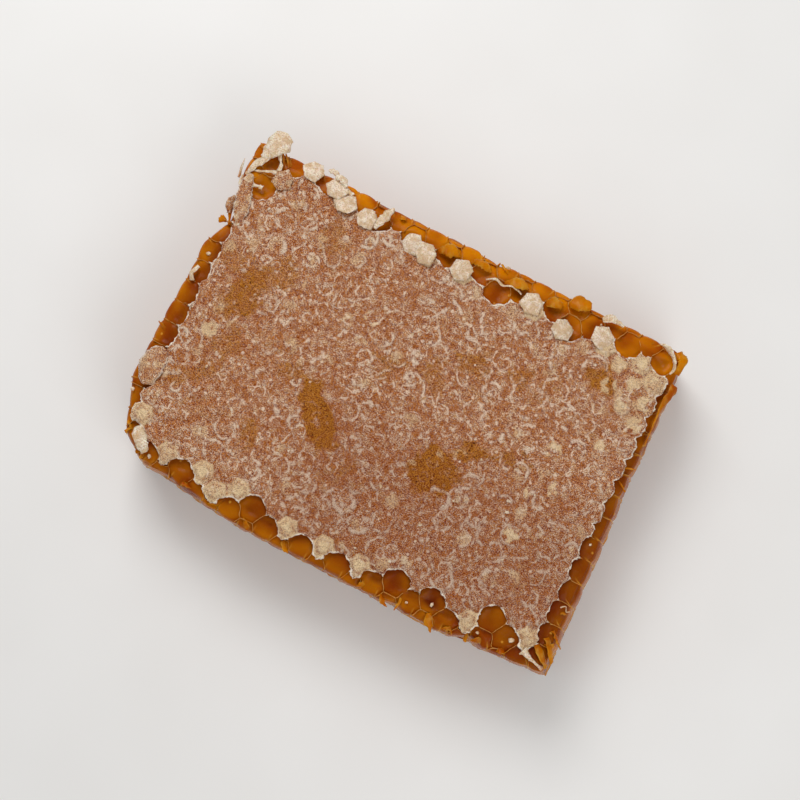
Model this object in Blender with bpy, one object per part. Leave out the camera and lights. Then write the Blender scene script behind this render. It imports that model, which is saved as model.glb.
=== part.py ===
"""A knife-cut piece of comb honey, lying flat.

Two layers of honey cells stand back to back on a wax midrib, and both faces are
sealed by wax capping. Cells that the knife opened along the cut show their honey,
a torn wax sheet hangs on one corner, and loose caps lie on the top face.

Lengths below are in millimetres and become metres where a mesh is made. +Z is up,
+X runs along the longer side, and the origin is at the middle of the base.
"""
import math
import random

import bmesh
import bpy
from mathutils import Euler, Vector, noise

MM = 0.001
SEED = 41

# Lattice of cells: columns run along Y, and the corners of a cell point along X
COLUMN = 4.59
ROW = 5.40
LATTICE_X = -0.75
LATTICE_Y = -36.75
LOWER_SHIFT_X = 2 * COLUMN / 3
CELL_LEAN = math.tan(math.radians(9))

# Heights of the five layers, with a clear gap between neighbours
GAP = 0.3
BOTTOM_CAPPING = 1.0
MIDRIB_LOW = 13.1
MIDRIB_HIGH = 13.9
UPPER_MOUTH = 25.0
HEIGHT = 26.3
LOWER_MOUTH = BOTTOM_CAPPING + GAP
LOWER_FLOOR = MIDRIB_LOW - GAP
UPPER_FLOOR = MIDRIB_HIGH + GAP

# Capped cells of the top face as column and row, less those opened at the cut
LAST_COLUMN = 11
LAST_ROW = 13
OPEN_AT_FRONT = [(-11, 0), (-10, 0), (-8, 0), (-4, 0), (4, 0), (6, 0), (9, 0), (10, 0)]
OPEN_AT_BACK = [(-11, 12), (-11, 13), (-5, 13), (-3, 13), (-1, 13), (1, 13), (2, 13),
                (3, 13), (5, 13), (6, 13), (7, 13), (9, 13), (11, 13)]
TORN_AWAY = [(-12, 10), (-12, 11), (-12, 12), (-12, 13)]

# Corners of the knife cut in the lattice's own millimetres, on the top face and at the
# foot. The cut slants out below the top edge and is nearly upright further down.
KNIFE = [((-56.8, 15.0), (-58.2, 14.0)),
         ((-52.0, 3.4), (-53.6, 1.8)),
         ((-45.5, -1.0), (-46.5, -2.8)),
         ((-20.0, -3.9), (-20.0, -5.6)),
         ((32.0, -4.4), (32.0, -6.0)),
         ((55.2, -2.0), (59.8, -3.8)),
         ((53.8, 76.3), (56.0, 77.7)),
         ((-55.6, 76.4), (-57.0, 77.6))]
KNIFE_POWER = 4

# Places where the cut edge is torn back: lattice x and y, reach and depth at the top
BITES = [(-56.4, 59.5, 8.5, 3.2), (-40.0, -2.5, 4.0, 0.8), (20.0, -4.2, 3.5, 0.9),
         (38.5, -4.0, 4.0, 1.6), (54.6, 44.0, 7.0, 0.7), (6.0, 76.4, 5.0, 0.8)]

# Cut faces of the cells: grooves at the walls, and honey that swells or has sunk
# between them
GROOVE = 0.55
SWELL_MOST = 0.45
SWELL_LEAST = -0.25
SWELL_PLACES = (0.3, 0.7)
LEAST_ARC = 1.6
LEAN_FADE = 4.0
UPPER_STEPS = (0.0, 0.5, 0.85, 1.0)
LOWER_STEPS = (0.0, 0.5, 1.0)

# Opened cells lie below the capping, each with a dome of honey
OPEN_DEPTH = 1.0
PLATEAU_ROOT = 0.8
DOME_SIDES = 8
DOME_LEAST = 0.25
DOME_MOST = 0.6
DOME_SHRINK = 0.2
LEAST_SECTION = 5.0

# Relief of the capping and the midrib
CAP_DOME = 0.32
CAP_UNEVEN = 0.12
WAVE_HEIGHT = 0.8
WAVE_LENGTH = 34.0
RIM_DROP = 0.25
MIDRIB_STEP = 3.2
MIDRIB_RAGGED = 0.3

# Loose caps on the top face: lattice x and y, lift off the capping, radius, and two
# tilts in degrees
LOOSE_CAPS = [(-41.3, 75.9, 0.1, 2.5, -5, -4), (-34.8, 74.6, 0.3, 2.7, -8, 10),
              (-31.3, 72.2, 0.4, 2.6, 6, 9), (-25.4, 71.6, 0.1, 2.6, 9, -6),
              (-13.4, 70.9, 0.2, 2.7, -6, 6), (-9.6, 70.2, 0.3, 2.5, 5, -7),
              (-0.6, 70.6, 0.2, 2.7, -5, 5), (17.2, 71.0, 0.2, 2.7, 4, 8),
              (26.0, 68.8, 0.1, 2.7, 8, -6), (35.3, 71.2, 0.3, 2.7, -8, -7),
              (-46.7, 70.6, 0.4, 2.5, 4, 7)]
LOOSE_CAP_THICK = 0.5
LOOSE_CAP_CUP = 0.35
LOOSE_CAP_SPOKES = (0.88, 1.08)
LOOSE_CAP_TURN = 1.1

# Torn wax sheet at the back left corner, from its root in the cells to its tip
TORN_ROOT = Vector((-51.8, 67.0, 24.2))
TORN_TIP = Vector((-50.4, 79.8, 26.0))
TORN_WIDTH = 4.4
TORN_TAPER = 0.6
TORN_THICK = 0.7
TORN_RISE = 1.2
TORN_FOLD = 0.8
TORN_STEPS = 7

WAX_PALE = (0.62, 0.40, 0.24)
WAX_CREAM = (0.72, 0.52, 0.30)
HONEY = (0.55, 0.20, 0.02)
WAX_ROUGH = 0.6
HONEY_ROUGH = 0.12
SHARP_ANGLE = math.radians(35)


def cell_centre(column, row):
    """Centre of a cell at the top face."""
    x = LATTICE_X + COLUMN * column
    y = LATTICE_Y + ROW * (row + 0.5 * (column % 2))
    return x, y


def hexagon(x, y, grow=0.0):
    """Corners of a cell, counter-clockwise, with its sides moved out by grow."""
    scale = 1 + 2 * grow / ROW
    half = ROW / 2 * scale
    third = COLUMN / 3 * scale
    return [(x + 2 * third, y), (x + third, y + half), (x - third, y + half),
            (x - 2 * third, y), (x - third, y - half), (x + third, y - half)]


def around(run):
    """Each member of a closed run with the one after it."""
    return zip(run, run[1:] + run[:1])


def knife_outline(z, inset=0.0):
    """Outline of the cut at a height, moved inwards by inset."""
    slant = 1 - min(1.0, max(0.0, z / HEIGHT)) ** KNIFE_POWER
    corners = [Vector((LATTICE_X + top[0] + (foot[0] - top[0]) * slant,
                       LATTICE_Y + top[1] + (foot[1] - top[1]) * slant))
               for top, foot in KNIFE]
    moved = []
    for place, corner in enumerate(corners):
        into = (corner - corners[place - 1]).normalized()
        out = (corners[(place + 1) % len(corners)] - corner).normalized()
        inward = Vector((-into.y, into.x))
        bisector = (inward + Vector((-out.y, out.x))).normalized()
        point = corner + bisector * (inset / bisector.dot(inward))
        moved.append((point.x, point.y))
    return moved


def side_of(a, b, point):
    """Positive where a point lies left of the line from a to b."""
    return (b[0] - a[0]) * (point[1] - a[1]) - (b[1] - a[1]) * (point[0] - a[0])


def inside_all(points, outline):
    """True where every point lies inside a convex outline."""
    return all(side_of(a, b, point) >= 0 for a, b in around(outline) for point in points)


def clip(polygon, outline):
    """The part of a convex polygon that lies inside a convex outline."""
    for a, b in around(outline):
        kept = []
        for p, q in around(polygon):
            side_p = side_of(a, b, p)
            side_q = side_of(a, b, q)
            if side_p >= 0:
                kept.append(p)
            if side_p * side_q < 0:
                t = side_p / (side_p - side_q)
                kept.append((p[0] + (q[0] - p[0]) * t, p[1] + (q[1] - p[1]) * t))
        if len(kept) < 3:
            return []
        polygon = kept
    return polygon


def area_and_centre(polygon):
    """Area and centroid of a polygon, zero and None where it is empty."""
    area = sum_x = sum_y = 0.0
    for p, q in around(polygon):
        cross = p[0] * q[1] - q[0] * p[1]
        area += cross / 2
        sum_x += (p[0] + q[0]) * cross / 6
        sum_y += (p[1] + q[1]) * cross / 6
    return (area, (sum_x / area, sum_y / area)) if area > 0 else (0.0, None)


def eased_ring(polygon, centre, z):
    """Points at even angles on a convex polygon, with its corners eased."""
    rays = [(math.cos(math.tau * k / DOME_SIDES), math.sin(math.tau * k / DOME_SIDES))
            for k in range(DOME_SIDES)]
    radii = []
    for ray in rays:
        nearest = ROW
        for p, q in around(polygon):
            edge = (q[0] - p[0], q[1] - p[1])
            across = ray[0] * edge[1] - ray[1] * edge[0]
            if across > 0:
                offset = (p[0] - centre[0]) * edge[1] - (p[1] - centre[1]) * edge[0]
                nearest = min(nearest, offset / across)
        radii.append(nearest)
    ring = []
    for k, ray in enumerate(rays):
        beside = (radii[k - 1] + radii[(k + 1) % DOME_SIDES]) / 2
        radius = (radii[k] + min(radii[k], beside)) / 2
        ring.append((centre[0] + radius * ray[0], centre[1] + radius * ray[1], z))
    return ring


def wall_marks(a, b, centres):
    """Shares of the way from a to b at which cell walls cross it, from 0 to 1."""
    start, way = Vector(a), Vector(b) - Vector(a)
    length = way.length
    marks = []
    for x, y in centres:
        for p, q in around(hexagon(x, y)):
            side_p = side_of(a, b, p)
            side_q = side_of(a, b, q)
            if side_p * side_q < 0:
                crossing = Vector(p).lerp(Vector(q), side_p / (side_p - side_q))
                marks.append((crossing - start).dot(way) / length ** 2)
    spaced = [0.0]
    for mark in sorted(marks):
        if mark - spaced[-1] > LEAST_ARC / length and 1 - mark > LEAST_ARC / length:
            spaced.append(mark)
    return spaced + [1.0]


def rim_places(z, centres, draw):
    """Places round the cut as edge, share of the way along it, and depth inwards."""
    places = []
    for edge, (a, b) in enumerate(around(knife_outline(z))):
        marks = wall_marks(a, b, centres)
        for first, second in zip(marks, marks[1:]):
            places.append((edge, first, GROOVE if first else 0.0))
            swell = draw.uniform(SWELL_LEAST, SWELL_MOST)
            for share in SWELL_PLACES:
                places.append((edge, first + (second - first) * share, -swell))
    return places


def rim_ring(places, z, slide=0.0):
    """The places round the cut as points at a height, slid along X with the cells."""
    outline = [Vector(corner) for corner in knife_outline(z)]
    ring = []
    for edge, share, depth in places:
        a, b = outline[edge], outline[(edge + 1) % len(outline)]
        length = (b - a).length
        along = (b - a) / length
        distance = share * length
        fade = min(1.0, distance / LEAN_FADE, (length - distance) / LEAN_FADE)
        point = a + along * (distance + slide * along.x * fade)
        for x, y, reach, most in BITES:
            away = (point - Vector((LATTICE_X + x, LATTICE_Y + y))).length / reach
            depth += most * max(0.0, 1 - away ** 2) * z / HEIGHT
        point += Vector((-along.y, along.x)) * depth
        ring.append((point.x, point.y, z))
    return ring


def all_cells():
    """Every lattice place that the cut can reach."""
    return [(column, row) for column in range(-LAST_COLUMN - 3, LAST_COLUMN + 4)
            for row in range(-3, LAST_ROW + 4)]


def top_capped_cells():
    """Capped cells of the top face with their centres."""
    cells = {}
    for column, row in all_cells():
        regular = abs(column) <= LAST_COLUMN and 0 <= row <= LAST_ROW
        opened = (column, row) in OPEN_AT_FRONT + OPEN_AT_BACK
        if regular and not opened:
            cells[(column, row)] = cell_centre(column, row)
    return cells


def bottom_capped_cells():
    """Whole cells of the underside with their centres."""
    foot = knife_outline(0.0)
    cells = {}
    for column, row in all_cells():
        x, y = cell_centre(column, row)
        if inside_all(hexagon(x + LOWER_SHIFT_X, y), foot):
            cells[(column, row)] = (x + LOWER_SHIFT_X, y)
    return cells


def patch_border(cells):
    """Outer corners of a patch of cells, in order round it."""
    following = {}
    for x, y in cells.values():
        corners = [(round(cx, 3), round(cy, 3)) for cx, cy in hexagon(x, y)]
        for first, second in around(corners):
            following.setdefault(first, set()).add(second)
    edges = {(a, b) for a, ends in following.items() for b in ends
             if a not in following.get(b, set())}
    step = dict(edges)
    run = [min(step)]
    while step[run[-1]] != run[0]:
        run.append(step[run[-1]])
    return run


def add_object(name, bm, colour, roughness):
    """Turn a millimetre mesh into a named object in metres with its material."""
    bmesh.ops.recalc_face_normals(bm, faces=bm.faces)
    bmesh.ops.scale(bm, vec=(MM, MM, MM), verts=bm.verts)
    mesh = bpy.data.meshes.new(name)
    bm.to_mesh(mesh)
    bm.free()
    mesh.shade_smooth()
    mesh.set_sharp_from_angle(angle=SHARP_ANGLE)
    body = bpy.data.objects.new(name, mesh)
    bpy.context.scene.collection.objects.link(body)
    material = bpy.data.materials.new(name + "_material")
    material.use_nodes = True
    shader = material.node_tree.nodes["Principled BSDF"]
    shader.inputs["Base Color"].default_value = (*colour, 1)
    shader.inputs["Roughness"].default_value = roughness
    shader.inputs["Metallic"].default_value = 0.0
    mesh.materials.append(material)
    return body


def loft(bm, rings, apex=None):
    """Close a stack of rings into one body, ending in a point where apex is given."""
    levels = [[bm.verts.new(point) for point in ring] for ring in rings]
    for low, high in zip(levels, levels[1:]):
        for k, corner in enumerate(low):
            after = (k + 1) % len(low)
            bm.faces.new((corner, low[after], high[after], high[k]))
    bm.faces.new(list(reversed(levels[0])))
    if apex is None:
        bm.faces.new(levels[-1])
    else:
        tip = bm.verts.new(apex)
        for first, second in around(levels[-1]):
            bm.faces.new((first, second, tip))


def unite(body, pieces):
    """Join pieces to a body by one union on their collection, then remove them."""
    group = bpy.data.collections.new(body.name + "_pieces")
    bpy.context.scene.collection.children.link(group)
    for piece in pieces:
        bpy.context.scene.collection.objects.unlink(piece)
        group.objects.link(piece)
    union = body.modifiers.new("join", "BOOLEAN")
    union.operation = "UNION"
    union.operand_type = "COLLECTION"
    union.collection = group
    union.solver = "EXACT"
    evaluated = body.evaluated_get(bpy.context.evaluated_depsgraph_get())
    joined = bpy.data.meshes.new_from_object(evaluated)
    joined.materials.clear()
    joined.materials.append(body.data.materials[0])
    joined.shade_smooth()
    joined.set_sharp_from_angle(angle=SHARP_ANGLE)
    body.modifiers.clear()
    body.data = joined
    for piece in pieces:
        bpy.data.objects.remove(piece)
    bpy.data.collections.remove(group)


def wave(x, y):
    """Gentle unevenness of the top face."""
    return WAVE_HEIGHT * noise.noise(Vector((x / WAVE_LENGTH, y / WAVE_LENGTH, SEED)))


def open_dome(x, y, z, draw):
    """Rings and tip of the honey in one opened cell, or None where too little is left."""
    section = clip(hexagon(x, y, -DOME_SHRINK), knife_outline(z, DOME_SHRINK))
    area, centre = area_and_centre(section)
    if area < LEAST_SECTION:
        return None
    rise = draw.uniform(DOME_LEAST, DOME_MOST)
    rings = [eased_ring(section, centre, z - rise), eased_ring(section, centre, z + rise / 2)]
    return rings, (*centre, z + rise)


def cut_layer(name, heights, shift_x, draw):
    """The body of a layer of cells, grooved round the cut where its walls stand."""
    rim = heights[-1]
    centres = []
    for cell in all_cells():
        x, y = cell_centre(*cell)
        centres.append((x + shift_x - CELL_LEAN * OPEN_DEPTH, y))
    places = rim_places(rim, centres, draw)
    bm = bmesh.new()
    loft(bm, [rim_ring(places, z, -CELL_LEAN * abs(rim - z)) for z in heights])
    return add_object(name, bm, HONEY, HONEY_ROUGH)


def plateau(name, root, mouth, capped):
    """The filled cells under the capping, which stand higher than the opened ones."""
    border = patch_border(capped)
    bm = bmesh.new()
    loft(bm, [[(x, y, z) for x, y in border] for z in (root, mouth)])
    return add_object(name, bm, HONEY, HONEY_ROUGH)


def torn_sheet():
    """Folded scrap of wax that hangs from the opened cells of the back left corner."""
    rings = []
    for step in range(TORN_STEPS):
        t = step / (TORN_STEPS - 1)
        middle = TORN_ROOT.lerp(TORN_TIP, t)
        middle += Vector((LATTICE_X, LATTICE_Y, TORN_RISE * math.sin(math.pi * t)))
        half = TORN_WIDTH / 2 * (1 - (1 - TORN_TAPER) * t ** 2)
        fold = TORN_FOLD * math.sin(math.pi * t * 0.5)
        half_thick = TORN_THICK / 2
        profile = [(-half, -half_thick), (0, fold - half_thick), (half, -half_thick),
                   (half, half_thick), (0, fold + half_thick), (-half, half_thick)]
        rings.append([(middle.x + across, middle.y, middle.z + up) for across, up in profile])
    bm = bmesh.new()
    loft(bm, rings)
    return add_object("torn_sheet", bm, WAX_CREAM, WAX_ROUGH)


def loose_cap(place, x, y, lift, radius, tilt_x, tilt_y):
    """One loose cap: a thin cupped hexagon that leans on the capping."""
    turn = Euler((math.radians(tilt_x), math.radians(tilt_y), place * LOOSE_CAP_TURN))
    centre = Vector((LATTICE_X + x, LATTICE_Y + y, 0))
    centre.z = HEIGHT + wave(centre.x, centre.y) + lift
    draw = random.Random(SEED + place)
    spokes = [radius * draw.uniform(*LOOSE_CAP_SPOKES) for _ in range(6)]
    bm = bmesh.new()
    faces = []
    for level in (-LOOSE_CAP_THICK / 2, LOOSE_CAP_THICK / 2):
        ring = []
        for k, spoke in enumerate(spokes):
            angle = math.tau * k / 6
            arm = Vector((spoke * math.cos(angle), spoke * math.sin(angle), level))
            ring.append(bm.verts.new(centre + turn.to_matrix() @ arm))
        hub = Vector((0, 0, level + LOOSE_CAP_CUP))
        faces.append((ring, bm.verts.new(centre + turn.to_matrix() @ hub)))
    for ring, hub in faces:
        for first, second in around(ring):
            bm.faces.new((first, second, hub))
    for (low, low_next), (high, high_next) in zip(around(faces[0][0]), around(faces[1][0])):
        bm.faces.new((low, low_next, high_next, high))
    return add_object(f"loose_cap_{place}", bm, WAX_PALE, WAX_ROUGH)


def make_top_capping(capped):
    """The wavy capping of the top face, domed over each cell, with its loose caps."""
    draw = random.Random(SEED)
    border = patch_border(capped)
    bm = bmesh.new()
    corners = {}
    for cell in sorted(capped):
        x, y = capped[cell]
        ring = []
        for cx, cy in hexagon(x, y):
            key = (round(cx, 3), round(cy, 3))
            if key not in corners:
                drop = RIM_DROP if key in border else 0.0
                corners[key] = bm.verts.new((*key, HEIGHT + wave(*key) - drop))
            ring.append(corners[key])
        rise = CAP_DOME + CAP_UNEVEN * draw.uniform(-1, 1)
        hub = bm.verts.new((x, y, HEIGHT + wave(x, y) + rise))
        for first, second in around(ring):
            bm.faces.new((first, second, hub))
    low = [bm.verts.new((*key, UPPER_MOUTH + GAP)) for key in border]
    for (first, second), (key, key_next) in zip(around(low), around(border)):
        bm.faces.new((first, second, corners[key_next], corners[key]))
    bm.faces.new(list(reversed(low)))
    body = add_object("top_capping", bm, WAX_PALE, WAX_ROUGH)
    unite(body, [loose_cap(place, *values) for place, values in enumerate(LOOSE_CAPS)])


def step_heights(floor, rim, steps):
    """Heights from a floor to a rim at the given shares of the way."""
    return [floor + (rim - floor) * step for step in steps]


def make_upper_cells(capped):
    """The upper layer of honey cells, its opened cells and the torn wax sheet."""
    draw = random.Random(SEED)
    rim = UPPER_MOUTH - OPEN_DEPTH
    body = cut_layer("upper_cells", step_heights(UPPER_FLOOR, rim, UPPER_STEPS), 0.0, draw)
    pieces = [plateau("upper_plateau", rim - PLATEAU_ROOT, UPPER_MOUTH, capped), torn_sheet()]
    for column, row in all_cells():
        dome = open_dome(*cell_centre(column, row), rim, draw)
        if dome and (column, row) not in capped and (column, row) not in TORN_AWAY:
            bm = bmesh.new()
            loft(bm, *dome)
            pieces.append(add_object(f"dome_{column}_{row}", bm, HONEY, HONEY_ROUGH))
    unite(body, pieces)


def make_lower_cells(capped):
    """The lower layer of honey cells, offset so that its walls meet mid-cell."""
    draw = random.Random(SEED)
    rim = LOWER_MOUTH + OPEN_DEPTH
    heights = step_heights(LOWER_FLOOR, rim, LOWER_STEPS)
    body = cut_layer("lower_cells", heights, LOWER_SHIFT_X, draw)
    unite(body, [plateau("lower_plateau", rim + PLATEAU_ROOT, LOWER_MOUTH, capped)])


def make_midrib():
    """The wax sheet between the two layers, with the ragged edge that the knife left."""
    draw = random.Random(SEED)
    places = []
    for edge, (a, b) in enumerate(around(knife_outline(MIDRIB_LOW))):
        steps = max(1, round(math.dist(a, b) / MIDRIB_STEP))
        for step in range(steps):
            places.append((edge, step / steps, MIDRIB_RAGGED * draw.uniform(-1, 1)))
    bm = bmesh.new()
    loft(bm, [rim_ring(places, z) for z in (MIDRIB_LOW, MIDRIB_HIGH)])
    add_object("midrib", bm, WAX_CREAM, WAX_ROUGH)


def make_bottom_capping(capped):
    """The capping of the underside, flat where the piece lies on it."""
    border = patch_border(capped)
    bm = bmesh.new()
    loft(bm, [[(x, y, z) for x, y in border] for z in (0.0, BOTTOM_CAPPING)])
    add_object("bottom_capping", bm, WAX_PALE, WAX_ROUGH)


def main():
    for old in list(bpy.data.objects):
        bpy.data.objects.remove(old)
    top = top_capped_cells()
    bottom = bottom_capped_cells()
    make_top_capping(top)
    make_upper_cells(top)
    make_midrib()
    make_lower_cells(bottom)
    make_bottom_capping(bottom)


main()
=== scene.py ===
"""How a knife-cut piece of comb honey looks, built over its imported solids.

The capping becomes a fine wax skin with its arcs, spots, golden patches and scalloped
edge. The two layers of cells become glossy honey with thin wax walls between them.
The loose caps, the torn corner and the crumbs of wax are meshes of their own.

Lengths below are in millimetres and become metres where a mesh is made. +Z is up,
+X runs along the longer side, and the origin is at the middle of the base.
"""

import math
import random

import bpy
import numpy as np
from mathutils import Euler, Matrix, Vector, kdtree, noise


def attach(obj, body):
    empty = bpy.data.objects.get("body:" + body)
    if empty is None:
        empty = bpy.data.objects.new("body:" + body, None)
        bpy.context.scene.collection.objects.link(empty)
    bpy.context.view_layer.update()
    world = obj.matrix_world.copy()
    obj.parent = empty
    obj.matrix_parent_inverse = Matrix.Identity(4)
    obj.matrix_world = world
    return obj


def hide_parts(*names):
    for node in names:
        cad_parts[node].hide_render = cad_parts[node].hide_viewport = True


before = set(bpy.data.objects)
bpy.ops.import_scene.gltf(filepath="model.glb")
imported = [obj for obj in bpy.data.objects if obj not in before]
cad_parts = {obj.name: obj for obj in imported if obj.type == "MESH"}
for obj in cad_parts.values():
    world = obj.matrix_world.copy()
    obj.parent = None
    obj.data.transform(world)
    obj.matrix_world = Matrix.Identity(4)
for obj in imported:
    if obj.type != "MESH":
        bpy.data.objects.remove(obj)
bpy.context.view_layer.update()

MM = 0.001
SEED = 41
SIDES = 6
NOISE_TABLE = 256
NOISE_START = 500

# Corners of a cell in thirds of a column and halves of a row, and numbers that make a
# key of such a place
HEXAGON_STEPS = [(2, 0), (1, 1), (-1, 1), (-2, 0), (-1, -1), (1, -1)]
KEY_SHIFT = 10 ** 5
KEY_STEP = 10 ** 6
TINY = 1e-9

# Lattice of cells: columns run along Y, and the corners of a cell point along X
COLUMN = 4.59
ROW = 5.40
LATTICE_X = -0.75
LATTICE_Y = -36.75
LOWER_SHIFT_X = 2 * COLUMN / 3
CELL_LEAN = math.tan(math.radians(9))
HALF_ROW = ROW / 2

# Heights of the layers
HEIGHT = 26.3
BOTTOM_CAPPING = 1.0
MIDRIB_LOW = 13.1
MIDRIB_HIGH = 13.9
UPPER_MOUTH = 25.0
LOWER_MOUTH = 1.3
OPEN_DEPTH = 1.0
UPPER_RIM = UPPER_MOUTH - OPEN_DEPTH
LOWER_RIM = LOWER_MOUTH + OPEN_DEPTH

# Capped cells of the top face as column and row, less those opened at the cut
LAST_COLUMN = 11
LAST_ROW = 13
OPEN_AT_FRONT = [(-11, 0), (-10, 0), (-8, 0), (-4, 0), (4, 0), (6, 0), (9, 0), (10, 0)]
OPEN_AT_BACK = [(-11, 12), (-11, 13), (-5, 13), (-3, 13), (-1, 13), (1, 13), (2, 13),
                (3, 13), (5, 13), (6, 13), (7, 13), (9, 13), (11, 13)]

# Corners of the knife cut in the lattice's own millimetres, on the top face and at the
# foot. The cut slants out below the top edge and is nearly upright further down.
KNIFE = [((-56.8, 15.0), (-58.2, 14.0)),
         ((-52.0, 3.4), (-53.6, 1.8)),
         ((-45.5, -1.0), (-46.5, -2.8)),
         ((-20.0, -3.9), (-20.0, -5.6)),
         ((32.0, -4.4), (32.0, -6.0)),
         ((55.2, -2.0), (59.8, -3.8)),
         ((53.8, 76.3), (56.0, 77.7)),
         ((-55.6, 76.4), (-57.0, 77.6))]
KNIFE_POWER = 4

# Places where the cut edge is torn back: lattice x and y, reach and depth at the top
BITES = [(-56.4, 59.5, 8.5, 3.2), (-40.0, -2.5, 4.0, 0.8), (20.0, -4.2, 3.5, 0.9),
         (38.5, -4.0, 4.0, 1.6), (54.6, 44.0, 7.0, 0.7), (6.0, 76.4, 5.0, 0.8)]

# Cut faces of the cells
GROOVE = 0.35
SWELL_MOST = 0.3
SWELL_LEAST = -0.2
LEAST_ARC = 1.6
LEAN_FADE = 4.0
CUT_STEP = 0.36
CUT_CROWD = 0.6
SIDE_STEP = 0.5
FIN_HEIGHT = 0.5
FIN_WIDTH = 0.15
SHOULDER = 0.7
SHOULDER_ANGLES = (0.25, 0.5, 0.75, 1.0, 1.25)
RIM_REACH = 12.0
RIM_STEP = 0.34
LEAST_STEPS = 5
LOBE_POWER = 3
SWELL_EVEN = 0.8
FIN_EVEN = 0.75
DRAINED_DEPTH = 0.5
DRAINED_STEP = (0.35, 0.9)
# Unevenness along the cut: spread from cell to cell, size and seed
FACE_UNEVEN = (7.3, 3.5, 41)
FACE_BUMPS = (9.1, 1.6, 42)
FACE_BUMP_HEIGHT = 0.1
FACE_BUMP_TURN = 3
FACE_DRAINED = (5.7, 5.0, 43)
FIN_UNEVEN = (11.3, 0.9, 44)

# Honey in the opened cells
BOWL_LEAST = 0.15
BOWL_MOST = 1.1
LOBE_LEAST = -0.3
LOBE_MOST = 0.4
CREASE = 0.25
CREASE_WIDTH = 0.3
RIGHT_FLAT = 52.0
# Steps of y over which painted light brightens the honey towards the back
BRIGHT_BACK = (15.0, 33.0)
CLIMB = 1.0
CLIMB_REACH = 3.2
UNDER_CLIMB_REACH = 1.4
# Steps of x over which the painted shade at the front grows towards the right
DARK_RIGHT = (40.0, 54.0)
OPEN_INSET = 0.6
OPEN_TABLE = 64
WHOLE_STEP = (2.0, 4.5)
CUT_FLAT = 0.8
OPEN_BUMPS = [(0.12, 2.1, SEED + 6), (0.05, 0.8, SEED + 7)]
HIDDEN_STEP = (0.9, 1.4)
UNDER_CAP_GAP = 0.1

# Painted shade on the honey: at the cut's face, where it is drained, at its foot, at the
# front, where it is sunk, below the capping and away from the rim
SIDE_SHADE = 0.3
DRAINED_SHADE = 0.4
FOOT_SHADE = 0.3
FOOT_REACH = 1.0
FRONT_SHADE = 0.3
SUNK_SHADE = 0.5
SUNK_STEP = (0.1, 1.0)
COVERED_SHADE = 0.5
INNER_SHADE = 0.3
INNER_STEP = (0.8, 4.0)
# Share of the painted shade taken off at the back, a painted light
BACK_LIGHT = 0.45
RIM_FADE = (0.4, 2.2)

# Zigzag of the midrib, with the lift and inset of each ring round it
ZIGZAG = 0.45
ZIGZAG_UNEVEN = (3.1, 1.0, 51)
ZIGZAG_LEAST = 0.12
MIDRIB_OUT = -0.1
MIDRIB_RAGGED = -0.25
MIDRIB_UNEVEN = (4.7, 1.0, 52)
MIDRIB_RINGS = [(-0.45, 2.5), (-0.4, 0.35), (-0.2, 0.05), (0.2, 0.05), (0.4, 0.35), (0.45, 2.5)]
MIDRIB_EDGE = 1.0
MIDRIB_TONE = 0.3
MIDRIB_STAINS = [(0.25, 3.0, 53)]

# Capping of the two faces
TOP_FINE = 9
UNDER_FINE = 4
UNDER_INSET = 1.1
WAVE_HEIGHT = 0.8
WAVE_LENGTH = 34.0
CAP_DOME = 0.32
CAP_UNEVEN = 0.12
BOW_IN = (0.5, 0.95)
BOW_OUT = (0.1, 0.35)
TIP_ROUND = 0.45
TIP_REACH = 1.4
RAGGED = 0.24
RAGGED_REACH = 1.0
RIM_DROP = 0.25
RIM_PALE = 0.34
CUSP_REACH = 0.8
RIM_FRAY = 0.13
DOME_POWER = 2.5
PALE_RISE = 0.12
MARK_HEIGHT = 0.22
RIM_FALL = 0.9
LIP_HEIGHT = 0.25
LIP_REACH = 0.5
LIP_EVEN = 0.4
# Raised ring on a pale cap: place from its centre to its walls, width and height
CAP_RING = (0.4, 0.12, 0.12)

# Ripples of the capping as lists of height, size and seed
RAGGED_X = [(1.0, 1.1, 1), (0.6, 0.5, 3)]
RAGGED_Y = [(1.0, 1.1, 2), (0.6, 0.5, 4)]
MARK_WARP_X = [(0.4, 1.7, 5)]
MARK_WARP_Y = [(0.4, 1.7, 6)]
MARK_GAPS = [(1.0, 0.8, 7), (0.5, 2.5, 8)]
TOP_BUMPS = [(0.1, 1.8, 11), (0.07, 0.9, 12), (0.05, 0.5, 13)]
LIP_BREAKS = [(1.0, 2.3, 14)]
GOLD_WARP_X = [(2.0, 3.0, 15), (1.0, 1.2, 17)]
GOLD_WARP_Y = [(2.0, 3.0, 16), (1.0, 1.2, 18)]
PATCHY = [(1.0, 1.5, 22), (0.5, 0.7, 23)]
GOLD_STAINS = [(1.0, 7.0, 24)]
TORN_RIM = [(1.0, 1.5, 25), (0.6, 0.6, 26)]
FILM_BREAKS = [(1.0, 2.4, 27)]
UNDER_WAVES = [(0.3, 2.0, 31)]
UNDER_BUMPS = [(0.04, 0.8, 32)]
UNDER_CREAM = [(1.0, 1.4, 33)]
UNDER_GOLD = [(1.0, 6.0, 34)]

# Whiteness of the capping: strengths, and the steps over which each fades
LISTED_PALE = 0.95
SPOTTED_PALE = 0.75
STRAY_PALE = 0.45
FILM_PALE = 0.6
PATCHY_EVEN = 0.6
FILM_EVEN = 0.4
STRAY_TONE = 0.8
PATCHY_STEP = (-0.5, 0.2)
SPOT_FADE = (0.5, 0.9)
STRAY_FADE = (0.4, 0.9)
FILM_STEP = (-0.3, 0.3)
RING_PLACE = 0.58
RING_WIDTH = 0.13
RING_DEPTH = 0.45
SEAM_INNER = (0.8, 1.0)
SEAM_EDGE = (0.35, 0.8)
# Painted shade in the creases between the listed pale caps
SEAM_SHADE = 0.8
SEAM_DEPTH = 0.3
RIM_BASE = 0.3
RIM_TORN = 0.55
RIM_CUSPS = 0.9
TORN_STEP = (0.0, 0.6)

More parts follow.
